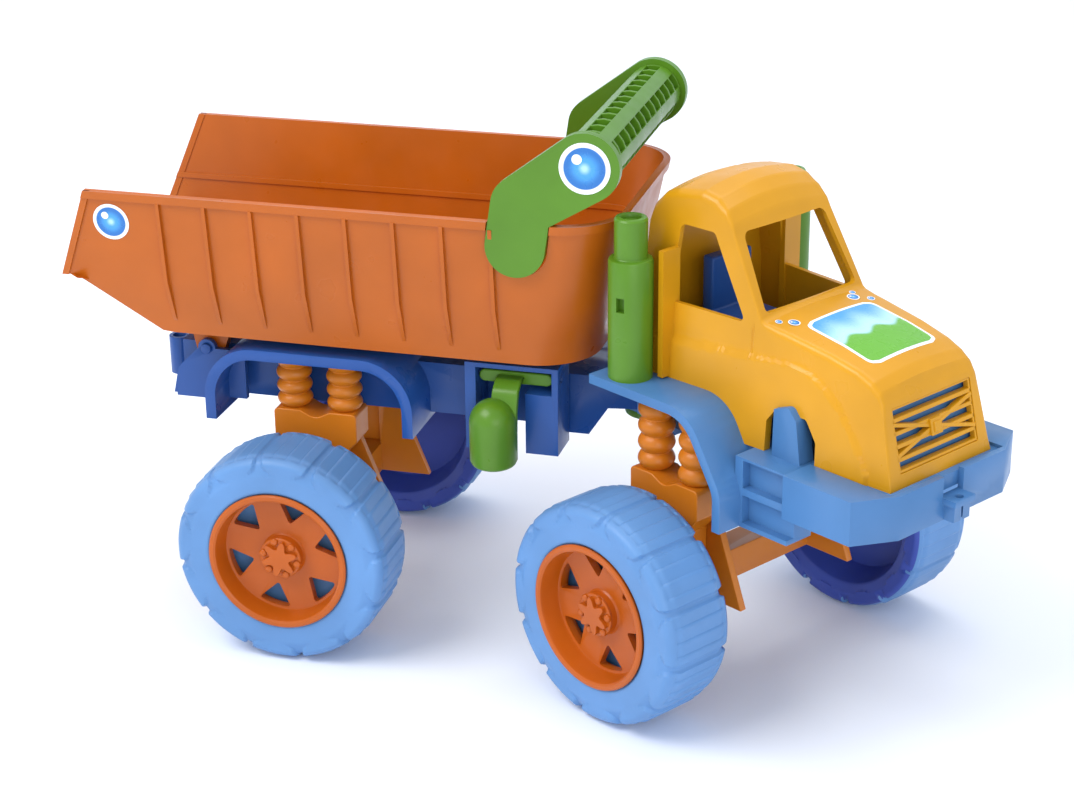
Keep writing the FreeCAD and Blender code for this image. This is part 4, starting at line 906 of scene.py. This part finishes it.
def arm_drawing(side):
    low, high = sorted((side * ARM_Y, side * (ARM_Y - ARM_WALL)))
    foot, elbow = (ARM_X, ARM_Z, ARM_RADIUS), (ELBOW_X, ELBOW_Z, ARM_RADIUS)
    shoulder = side_plate(hull_of_circles(elbow, (GRIP_X, GRIP_Z, DISC_RADIUS)), low, high)
    return combined(side_plate(hull_of_circles(foot, elbow), low, high), [shoulder], "UNION")


for side_name, side in SIDES.items():
    dress(f"handle_arm_{side_name}", "finished", arm_drawing(side), REAR, 1.6, 3)


# %% Grip
def grip_drawing():
    """A tube whose skin is a grid, with rows of pockets pushed in and one row left smooth."""
    radius, half, columns, cells, smooth_row = 17.5, ARM_Y - ARM_WALL - 0.1, 24, 13, 4
    pitch, web, depth = 2 * half / cells, 2.2, 4.5
    stations = [-half]
    for cell in range(cells):
        start = -half + cell * pitch
        stations += [start + web / 2, start + pitch - web / 2]
    stations.append(half)
    circle = [on_circle(radius, 2 * math.pi * i / columns) for i in range(columns)]
    drawing = loft([[(x, y, z) for x, z in circle] for y in stations])
    pockets = {}
    for face in drawing.faces:
        centre = face.calc_center_median()
        if len(face.verts) != 4 or abs(abs(centre.y) - half) < 0.01:
            continue
        column = int((math.degrees(math.atan2(centre.z, centre.x)) % 360) // (360 / columns))
        in_cell = abs(((centre.y + half) / pitch) % 1 - 0.5) < 0.3
        if in_cell and column % 4 in (1, 2) and column // 4 != smooth_row:
            pockets.setdefault((column // 4, round(centre.y, 1)), []).append(face)
    for faces in pockets.values():
        centre = sum((face.calc_center_median() for face in faces), Vector()) / len(faces)
        inwards = Vector((-centre.x, 0, -centre.z)).normalized()
        pushed = bmesh.ops.extrude_face_region(drawing, geom=faces)
        verts = [g for g in pushed["geom"] if isinstance(g, bmesh.types.BMVert)]
        bmesh.ops.delete(drawing, geom=faces, context="FACES_ONLY")
        bmesh.ops.translate(drawing, verts=verts, vec=inwards * depth)
    bmesh.ops.recalc_face_normals(drawing, faces=drawing.faces)
    return moved(drawing, x=GRIP_X, z=GRIP_Z)


dress("handle_grip", "pocketed", grip_drawing(), REAR, 0.6)

# %% [markdown]
# ## Moulded springs
# The springs are not springs: each pair is one stiff orange moulding of two ribbed columns on a saddle. A column
# is a neck with four round bulges, so one bulge is turned and the row tree stacks it. The saddle under them is a
# block with a dished top.

# %% Spring blocks, beams and axles
SPRING_PITCH, SADDLE_TOP, COILS = 34.0, 141.0, 4
NECK_RADIUS, BULGE = 8.4, 3.1
SADDLE_Y = {"rear": 50.0, "front": 63.0}
SPRING_ROOF = {"rear": 177.0, "front": 184.0}


def spring_drawing(end, side):
    step = (SPRING_ROOF[end] - SADDLE_TOP) / COILS
    bulge = [(NECK_RADIUS + BULGE * math.sin(math.pi * i / 10) ** 0.8, step * i / 10) for i in range(1, 10)]
    coil = lathe([(NECK_RADIUS, 0), *bulge, (NECK_RADIUS, step)], 36)
    column = moved(repeated(coil, IN_ROW, "suspension_orange", 0.05, Count=COILS, Step=(0, 0, step)), z=SADDLE_TOP)
    outline = rounded([(-15, 80), (15, 80), (15, 108), (28, 122), (28, SADDLE_TOP), (10, SADDLE_TOP),
                       (0, SADDLE_TOP - 5), (-10, SADDLE_TOP), (-28, SADDLE_TOP), (-28, 122), (-15, 108)],
                      {3: 3, 4: 3, 6: 9, 8: 3, 9: 3})
    pair = [moved(column.copy(), x=-SPRING_PITCH / 2), moved(column, x=SPRING_PITCH / 2)]
    return moved(joined(side_plate(outline, -11.5, 11.5), *pair), y=side * SADDLE_Y[end])


for end, unit in (("rear", REAR), ("front", FRONT)):
    axle_x = 0 if end == "rear" else front_axle_u
    for side_name, side in SIDES.items():
        block = moved(spring_drawing(end, side), x=axle_x)
        dress(f"{end}_{side_name}_spring_block", "ribbed", block, unit, 0.9)
    softened(f"{end}_axle_beam", 1.2)

# %% [markdown]
# ## Frame mouldings with mould radii
# The chassis, bracket, bumper, lever and pins already have their true shape in the frame. What they lack is the
# small radius on every edge that catches the light on a moulding, so each gets a merged, bevelled copy.

# %% Soften the construction pieces
for node, radius in (("rear_chassis", 1.0), ("lever_bracket", 1.2), ("front_chassis", 1.2), ("front_bumper", 1.6),
                     ("articulation_pin", 1.0), ("bed_hinge_pin", 0.6), ("cab_insert", 1.6)):
    softened(node, radius)

# %% [markdown]
# ## Lever and stacks
# The tipping lever's grip is a domed bullet, turned on the lathe and hung on a flat bent arm. The stacks are
# stepped tubes with a soft edge and a small slot that faces sideways.

# %% Lever
def lever_drawing():
    """Domed knob, cross bar with round ends, and the bent blade between them."""
    lever_x, knob_y, knob_low, knob_top, radius = 124.0, -76.0, 124.0, 168.0, 15.0
    dome = [on_circle(radius, math.pi / 2 * i / 14, 0, knob_top - radius) for i in range(14)]
    knob = lathe([(0, knob_low), (radius - 3.5, knob_low), (radius - 1.2, knob_low + 1.2), (radius, knob_low + 4),
                  *dome, (0, knob_top)], 56)
    moved(knob, x=lever_x, y=knob_y)
    bar = side_plate(rounded([(109.8, 172), (157.2, 172), (157.2, 180), (109.8, 180)], 3.9, 6), -58, -50)
    blade_line = [(-54, 178), (-64, 177.5), (-72, 172), (-76, 160), (-78, 134)]
    back = [(y + 4.2, z - 1.0) for y, z in reversed(blade_line[1:])]
    outline = rounded([*blade_line, *back, (-54, 173.8)], {1: 5, 2: 8, 3: 8}, 4)
    return joined(knob, bar, stood_up(plate(outline, 17), lever_x - 2))


dress("tipping_lever", "finished", lever_drawing(), REAR, 1.1, 3)


# %% Stacks
STACK_U, STACK_V, SLOT_BEARING = 49, 69, math.radians(107.6)


def stack_drawing(side):
    base, step, top, wide, narrow = 196.0, 271.0, 296.0, 13.5, 10.0
    body = lathe([(0, base), (wide, base), (wide, step - 2), (12.9, step - 0.6), (11.5, step), (10.4, step),
                  (narrow, step + 0.6), (narrow, top - 1.6), (9.2, top - 0.4), (7.8, top), (6.8, top),
                  (6.2, top - 0.8), (6.0, top - 3), (0, top - 3.4)], 56)
    slot = box((-16, -9), (-2.6, 2.6), (240, 249))
    slot.transform(Matrix.Rotation(-SLOT_BEARING * side, 4, "Z"))
    return moved(combined(body, [slot]), x=STACK_U, y=side * STACK_V)


for side_name, side in SIDES.items():
    dress(f"stack_{side_name}", "finished", stack_drawing(side), FRONT, 0)

# %% [markdown]
# ## Cab
# The cab is one thin shell: a crowned roof on slim pillars over a hood that falls to a rounded brow. Its outside is
# skinned from upright cross sections along its length. Each section has sloping sides, round upper corners and a
# crown across, and its height follows the cab's side view. Small steps in the half width make the belt ledge, the
# seam behind the door and the arched crease over the front. The inside, windows and openings are then cut out.

# %% Cab cross sections
CAB_REAR, CAB_FRONT, CAB_FOOT = 42.0, 231.0, 171.0
CAB_SIDE_VIEW = [(42, 292), (44, 299), (50, 305.5), (60, 309.5), (79, 312.2), (90, 310.2), (98, 304.5), (103.5, 297),
                 (106, 291.5), (131, 247.2), (134, 245.6), (150, 243.6), (180, 239), (200, 234.4), (210, 230.2),
                 (216, 225.4), (219.4, 219), (221, 212.5), (230.6, 173.2), (231, 171.6)]
CAB_WALL = 3.0
CAB_EDGE_RADIUS = [(42, 7), (94, 7), (104, 2.4), (131, 2.4), (142, 4.5), (212, 5), (222, 3.5), (231, 3)]
SIDE_STEPS, CORNER_STEPS, CROWN_STEPS = 44, 6, 10
RELIEF_STATIONS = (125.0, 125.6, 126.4, 127.0, 153.6, 154.0)    # extra sections at the seam and the belt's end


def read_off(table, x):
    """Straight-line reading of a table of (x, y)."""
    for (x0, y0), (x1, y1) in zip(table, table[1:]):
        if x <= x1:
            return y0 + (y1 - y0) * (max(x, x0) - x0) / (x1 - x0)
    return table[-1][1]


def cab_half(u, z):
    """Half width of the cab's flat sides."""
    share = (u - CAB_REAR) / (CAB_FRONT - CAB_REAR)
    levels = [(CAB_FOOT, 55 - 10 * share), (243, 52 - 14 * share), (317, 42 - 9 * share)]
    return read_off(levels, z)


def cab_relief(u, z):
    """How far the side stands proud: belt ledge, door seam and the arched crease at the front."""
    proud = 0.0
    if u < 154:
        belt = 219 + 8 * (u - 49) / 106
        proud += 1.9 * soft_step(belt - z, 0, 1.6)
    elif u < 214:
        arch = 227 - 50 * ((u - 154) / 60) ** 2.2
        proud += 1.9 * soft_step(arch - z, 0, 1.8)
    seam = soft_step(0.7 - abs(u - 126), 0, 0.8) * soft_step(z - 227, 0, 1) * soft_step(243 - z, 0, 1)
    return proud - 0.7 * seam


# %% One section and the whole solid
def cab_section(u, inset=0.0):
    """One closed ring, from the right foot over the top to the left foot."""
    on_screen, on_roof, on_nose = 105 < u < 131, u < 106, u > CAB_FRONT - 14
    top = read_off(CAB_SIDE_VIEW, u) - inset * (1.9 if on_screen else 1.0)
    foot = CAB_FOOT - (4 if inset else 0)
    height = max(top - foot, 0.5)
    radius = min(max(read_off(CAB_EDGE_RADIUS, u) - inset, 0.8), height * 0.45)
    crown = min(4.0 if on_roof else 2.6, height * 0.2) * (0.25 if on_nose else 1.0)
    shoulder = top - radius

    def side_at(z):
        return cab_half(u, z) - inset + (0 if inset else cab_relief(u, z))

    levels = [foot + (shoulder - foot) * step / SIDE_STEPS for step in range(SIDE_STEPS)]
    ring = [(side_at(z), z) for z in levels]
    flat = side_at(shoulder) - radius
    ring += [on_circle(radius, math.pi / 2 * step / CORNER_STEPS, flat, shoulder) for step in range(CORNER_STEPS + 1)]
    for step in range(1, CROWN_STEPS + 1):
        share = 1 - step / CROWN_STEPS
        height_here = top + crown * (1 - share ** 2)
        if not inset and 50 < u < 97:
            height_here -= 0.5 * soft_step(0.45 - abs(abs(flat * share) - 11), 0, 0.9)
        ring.append((flat * share, height_here))
    right = [Vector((u, -v, z)) for v, z in ring]
    left = [Vector((u, v, z)) for v, z in reversed(ring[:-1])]
    return right + left


def cab_solid(inset=0.0):
    rear, front = CAB_REAR + inset, CAB_FRONT - inset * 1.1
    stations = sorted({round(rear + (front - rear) * i / 96, 3) for i in range(97)}
                      | {u for u, _ in CAB_SIDE_VIEW if rear < u < front} | {rear, front})
    if not inset:
        stations = sorted({*stations, *RELIEF_STATIONS})
    return loft([cab_section(u, inset) for u in stations])


# %% Cab openings
SCREEN_FOOT, SCREEN_TOP = Vector((131, 247.2)), Vector((106, 291.5))
SCREEN_LEAN = (SCREEN_FOOT.x - SCREEN_TOP.x) / (SCREEN_TOP.y - SCREEN_FOOT.y)


def through(outline):
    """A cutter that passes through both sides."""
    return side_plate(outline, -80, 80)


def cab_cutters():
    window = through(rounded([(63, 243), (120, 243), (91.5, 290), (66, 290)], {0: 3, 1: 2.5, 2: 4, 3: 4}))
    screen = plate(rounded([(-39.6, 249.2), (39.6, 249.2), (34.6, 292), (-34.6, 292)], {0: 3, 1: 3, 2: 5, 3: 5}), 20)
    stood_up(screen, SCREEN_FOOT.x - 15.5 + SCREEN_FOOT.y * SCREEN_LEAN, SCREEN_LEAN)
    nose = stood_up(plate(rounded([(-35, 179), (35, 179), (35, 216), (-35, 216)], 1.2, 4), 40), 205)
    arch = through(rounded([(30, 150), (30, 196.2), (84, 195.6), (112, 184.5), (124.5, 165), (124.5, 150)],
                           {2: 40, 3: 26}, 8))
    notch = through(rounded([(142, 150), (142, 190), (148, 198), (170, 198), (178, 186), (180, 150)],
                            {1: 3, 2: 3, 3: 3, 4: 3}, 4))
    return [window, screen, nose, arch, notch]


cab = combined(cab_solid(), [cab_solid(CAB_WALL), *cab_cutters()])
fins = [box((63, 67), sorted((side * 46, side * 60)), (197, 276)) for side in SIDES.values()]
dress("cab_shell", "moulded", joined(cab, *fins), FRONT, 0)


# %% Grille
NOSE_TOP, NOSE_FOOT = Vector((221, 212.5)), Vector((230.6, 173.2))
NOSE_LEAN = (NOSE_FOOT.x - NOSE_TOP.x) / (NOSE_TOP.y - NOSE_FOOT.y)
NOSE_X = NOSE_TOP.x + NOSE_TOP.y * NOSE_LEAN


def bar_plate(half_length, half_height, thickness, middle=0.0):
    return moved(plate([(-half_length, -half_height), (half_length, -half_height), (half_length, half_height),
                        (-half_length, half_height)], thickness), y=middle)


def grille_drawing():
    """Frame, four slats, two crossed bars and a square boss, drawn upright and leant back with the nose."""
    low, high, half, wall, edge = 179.2, 215.8, 34.8, 4.0, 1.5
    pitch, middle, tall = (high - low) / 5, (low + high) / 2, (high - low) / 2
    slats = repeated(bar_plate(half, 1.2, wall, low + pitch), IN_ROW, "cab_yellow", Count=4, Step=(0, pitch, 0))
    hole = moved(bar_plate(half - edge, tall - edge, wall + 2, middle), z=-1)
    border = combined(bar_plate(half, tall, wall, middle), [hole])
    rise = math.atan2(tall, 2 * half)
    crossed = []
    for sign in (-1, 1):
        bar = bar_plate(half / math.cos(rise), 1.1, wall - 0.2)
        bar.transform(Matrix.Rotation(sign * rise, 4, "Z"))
        crossed.append(moved(bar, y=middle, z=0.6))
    boss = box((-4.8, 4.8), (middle - 4.8, middle + 4.8), (0, wall + 1.6))
    inner_boss = box((-2.6, 2.6), (middle - 3, middle + 3), (wall, wall + 2.4))
    return stood_up(joined(slats, border, *crossed, boss, inner_boss), NOSE_X - wall - 0.4, NOSE_LEAN)


dress("grille", "moulded", grille_drawing(), FRONT, 0.4)


def radiator_drawing():
    """The light blue sheet that shows between the slats, leaning with them."""
    sheet = plate(rounded([(-37, 177), (37, 177), (37, 218), (-37, 218)], 3), 1.2)
    return stood_up(sheet, NOSE_X - 7.4, NOSE_LEAN)


finish_piece("radiator_sheet", radiator_drawing(), FRONT, "front_frame", "body_blue", (), 0.3, 1)

# %% [markdown]
# ## Stickers
# Thin printed discs with water bubbles decorate the bed and the handle's shoulders, and a panel of blue waves over
# green sits on the hood between more bubbles. A bubble is two rings and a bright spot, and the material works them
# out from the distance to the disc's middle.

# %% Sticker materials
def disc_print(name, colours):
    """Concentric rings: colours is a list of (where it starts, colour), from the middle out to 1."""
    material, tree, shader = blank_material(name)
    place = add(tree, "ShaderNodeAttribute", attribute_name="from_middle").outputs["Fac"]
    rings = add(tree, "ShaderNodeValToRGB", {"Fac": place})
    rings.color_ramp.interpolation = "EASE"
    while len(rings.color_ramp.elements) < len(colours):
        rings.color_ramp.elements.new(0.5)
    for element, (position, colour) in zip(rings.color_ramp.elements, colours):
        element.position, element.color = position, (*colour, 1)
    grey = ramp(tree, noise(tree, 6), (0.8, 0.8, 0.8, 1), (1, 1, 1, 1))
    mottle = add(tree, "ShaderNodeMix", data_type="RGBA", blend_type="MULTIPLY")
    feed(tree, mottle, {"Factor": 0.15, 6: rings.outputs["Color"], 7: grey})
    feed(tree, shader, {"Base Color": mottle.outputs[2],
                        "Roughness": spread(tree, noise(tree, 9), 0.22, 0.34)})
    return material


WHITE, PALE, LEAF = (0.9, 0.93, 0.95), (0.45, 0.75, 0.92), (0.13, 0.42, 0.03)
DEEP, WATER = (0.02, 0.16, 0.50), (0.06, 0.33, 0.72)
PAINT["bubble"] = disc_print("bubble", [(0, PALE), (0.30, WATER), (0.70, DEEP), (0.80, DEEP), (0.84, WHITE)])
PAINT["wave_panel"] = disc_print("wave_panel", [(0, WATER), (0.46, PALE), (0.54, LEAF), (0.99, LEAF)])
PAINT["sticker_white"] = disc_print("sticker_white", [(0, WHITE), (1, WHITE)])


# %% Sticker pieces
def sticker(name, drawing, place, body, slot, value):
    """A printed piece; value gives the print's position, 0 to 1, at a point of the drawing."""
    layer = drawing.verts.layers.float.new("from_middle")
    for vert in drawing.verts:
        vert[layer] = value(vert.co)
    thing = raw_piece(name, drawing, place)
    thing.data.materials.append(PAINT[slot])
    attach(thing, body)
    print(name)


def disc_drawing(radius, rings=12, steps=48):
    """A flat disc with enough rings to hold its print, 0.25 mm thick."""
    return lathe([(0, 0.25), *[(radius * i / rings, 0.25) for i in range(1, rings + 1)], (radius, 0)], steps)


def bubble(name, radius, place, body):
    sticker(name, disc_drawing(radius), place, body, "bubble", lambda p: math.hypot(p.x, p.y) / radius)
    shine = moved(disc_drawing(radius * 0.2, 3, 20), x=-radius * 0.3, y=radius * 0.34, z=0.12)
    sticker(name + "_shine", shine, place, body, "sticker_white", lambda p: 0.5)


# %% Bubbles on the bed and the handle, and the hood's panel
def on_plane(origin, right, up):
    """Matrix that carries XY drawings onto the plane through origin."""
    right, up = Vector(right).normalized(), Vector(up).normalized()
    return Matrix.Translation(Vector(origin)) @ Matrix((right, up, right.cross(up))).transposed().to_4x4()


bed_x, bed_z = -118.0, 268.0
for side_name, side in SIDES.items():
    facing = -side
    slope = half_width(bed_z + 1) - half_width(bed_z)
    bed_place = on_plane((bed_x, side * (half_width(bed_z) + 0.06), bed_z), (facing, 0, 0), (0, side * slope, 1))
    bubble(f"bed_bubble_{side_name}", 12.0, REAR @ bed_place, "bed")
    arm_place = on_plane((GRIP_X, side * (ARM_Y + 0.05), GRIP_Z), (facing, 0, 0), (0, 0, 1))
    bubble(f"arm_bubble_{side_name}", 15.5, REAR @ arm_place, "bed")


def hood_height(u, v):
    """The cab's top surface, for laying a sticker on it."""
    ring = [p for p in cab_section(u) if p.y >= 0]
    ring.sort(key=lambda p: (p.y, -p.z))
    upper = [p for p in ring if p.z > read_off(CAB_SIDE_VIEW, u) - 1]
    return read_off([(p.y, p.z) for p in upper], abs(v))


def hood_patch(name, u_range, v_range, radius, lift, slot, value):
    """A panel with round corners whose grid follows the hood."""
    (u0, u1), (v0, v1) = u_range, v_range
    steps = 28
    drawing = bmesh.new()
    rows = []
    for i in range(steps + 1):
        u = u0 + (u1 - u0) * i / steps
        edge = min(u - u0, u1 - u, radius)
        trim = radius - math.sqrt(max(0.0, radius ** 2 - (radius - edge) ** 2))
        widths = [v0 + trim + (v1 - v0 - 2 * trim) * j / steps for j in range(steps + 1)]
        rows.append([drawing.verts.new((u, v, hood_height(u, v) + lift)) for v in widths])
    for first, second in zip(rows, rows[1:]):
        for j in range(steps):
            drawing.faces.new((first[j], second[j], second[j + 1], first[j + 1]))
    sticker(name, drawing, FRONT, "front_frame", slot, value)


hood_patch("hood_sticker_edge", (149, 202), (-29, 29), 6, 0.12, "sticker_white", lambda p: 0.5)
hood_patch("hood_sticker_panel", (151, 200), (-27, 27), 5, 0.24, "wave_panel",
           lambda p: (p.x - 151) / 49 + 0.05 * math.sin(p.y / 54 * 2 * math.pi * 2.5))
HOOD_BUBBLES = ((144, -31, 3.6), (141, 24, 3.8), (137.5, -37, 2.2), (136, 29, 2.0), (147, 33, 2.4))
for index, (u, v, radius) in enumerate(HOOD_BUBBLES):
    rise = hood_height(u + 1, v) - hood_height(u - 1, v)
    place = on_plane((u, v, hood_height(u, v) + 0.1), (0, 1, 0), (-2, 0, -rise))
    bubble(f"hood_bubble_{index}", radius, FRONT @ place, "front_frame")

# %% [markdown]
# ## Studio
# A pale floor that runs up into a pale wall, one large soft key from the upper left, a weaker fill and a bright
# surround give an even light and a soft, cool shadow.

# %% Camera
CAMERA_AZIMUTH, CAMERA_ELEVATION, CAMERA_ROLL = 15.89, 22.51, -0.63
CAMERA_DISTANCE, SENSOR, LENS = 1.50705, 36.0, 77.73
camera_target = Vector((rear_axle.x + 0.13072, rear_axle.y, 0.13770))


def aim_camera():
    azimuth, elevation, roll = (math.radians(a) for a in (CAMERA_AZIMUTH, CAMERA_ELEVATION, CAMERA_ROLL))
    back = Vector((math.sin(azimuth) * math.cos(elevation), -math.cos(azimuth) * math.cos(elevation),
                   math.sin(elevation)))
    level_right = Vector((math.cos(azimuth), math.sin(azimuth), 0))
    right = level_right * math.cos(roll) + back.cross(level_right) * math.sin(roll)
    up = back.cross(right)
    camera = bpy.data.objects.new("camera", bpy.data.cameras.new("camera"))
    camera.data.lens, camera.data.sensor_width = LENS, SENSOR
    camera.data.clip_end = 20
    bpy.context.scene.collection.objects.link(camera)
    camera.matrix_world = Matrix.Translation(camera_target + back * CAMERA_DISTANCE) @ Matrix(
        (right, up, back)).transposed().to_4x4()
    bpy.context.scene.camera = camera
    return camera


print("camera at", [round(v, 3) for v in aim_camera().location])


# %% Floor and lights
def plain_material(name, colour, roughness):
    material, tree, shader = blank_material(name)
    lighter, darker = [*colour, 1], [c * 0.985 for c in colour] + [1]
    feed(tree, shader, {"Base Color": ramp(tree, noise(tree, 400), darker, lighter), "Roughness": roughness,
                        "Specular IOR Level": 0.2})
    return material


def build_floor():
    """A floor that curves up into a wall behind, as one sheet."""
    reach, depth, sweep, tall = 6.0, 3.2, 1.2, 4.0
    curve = [on_circle(sweep, math.pi / 2 * (i / 16 - 1), depth, sweep) for i in range(1, 17)]
    profile = [(-6.0, 0.0), (depth, 0.0), *curve, (depth + sweep, tall)]
    drawing = loft([[(x, y, z) for y, z in profile] for x in (-reach, reach)], closed=False, caps=False)
    floor = raw_piece("studio_floor", drawing)
    for face in floor.data.polygons:
        face.use_smooth = True
    floor.data.materials.append(plain_material("studio_paper", (0.91, 0.94, 1.0), 0.75))


def soft_light(name, place, size_m, watts, colour=(1, 1, 1)):
    """A large lamp that looks at the truck's middle."""
    light = bpy.data.lights.new(name, "AREA")
    light.shape, light.size, light.size_y = "RECTANGLE", size_m, size_m * 0.7
    light.energy, light.color = watts, colour
    thing = bpy.data.objects.new(name, light)
    bpy.context.scene.collection.objects.link(thing)
    thing.location = place
    thing.rotation_euler = (Vector((0, 0, 0.12)) - Vector(place)).to_track_quat("-Z", "Y").to_euler()


build_floor()
soft_light("key", (-1.1, -1.0, 1.9), 1.5, 30, (1.0, 0.99, 0.97))
soft_light("front_fill", (1.2, -2.2, 0.9), 1.6, 12, (0.97, 0.985, 1.0))
soft_light("top", (0.2, 0.6, 2.4), 1.8, 16)
world = bpy.data.worlds.new("surround")
world.use_nodes = True
background = world.node_tree.nodes["Background"]
background.inputs["Color"].default_value = (0.92, 0.95, 1.0, 1)
background.inputs["Strength"].default_value = 0.95
print("three lamps, a floor and a surround")
bpy.context.scene.world = world
bpy.context.scene.view_settings.view_transform = "Standard"

# %% [markdown]
# ## Paint the frame and close
# Every frame node that is still shown takes the finish of its slot.

# %% Finish what is left of the frame
for node, thing in frame["nodes"].items():
    if not thing.hide_render:
        paint(thing, slot_of(node))
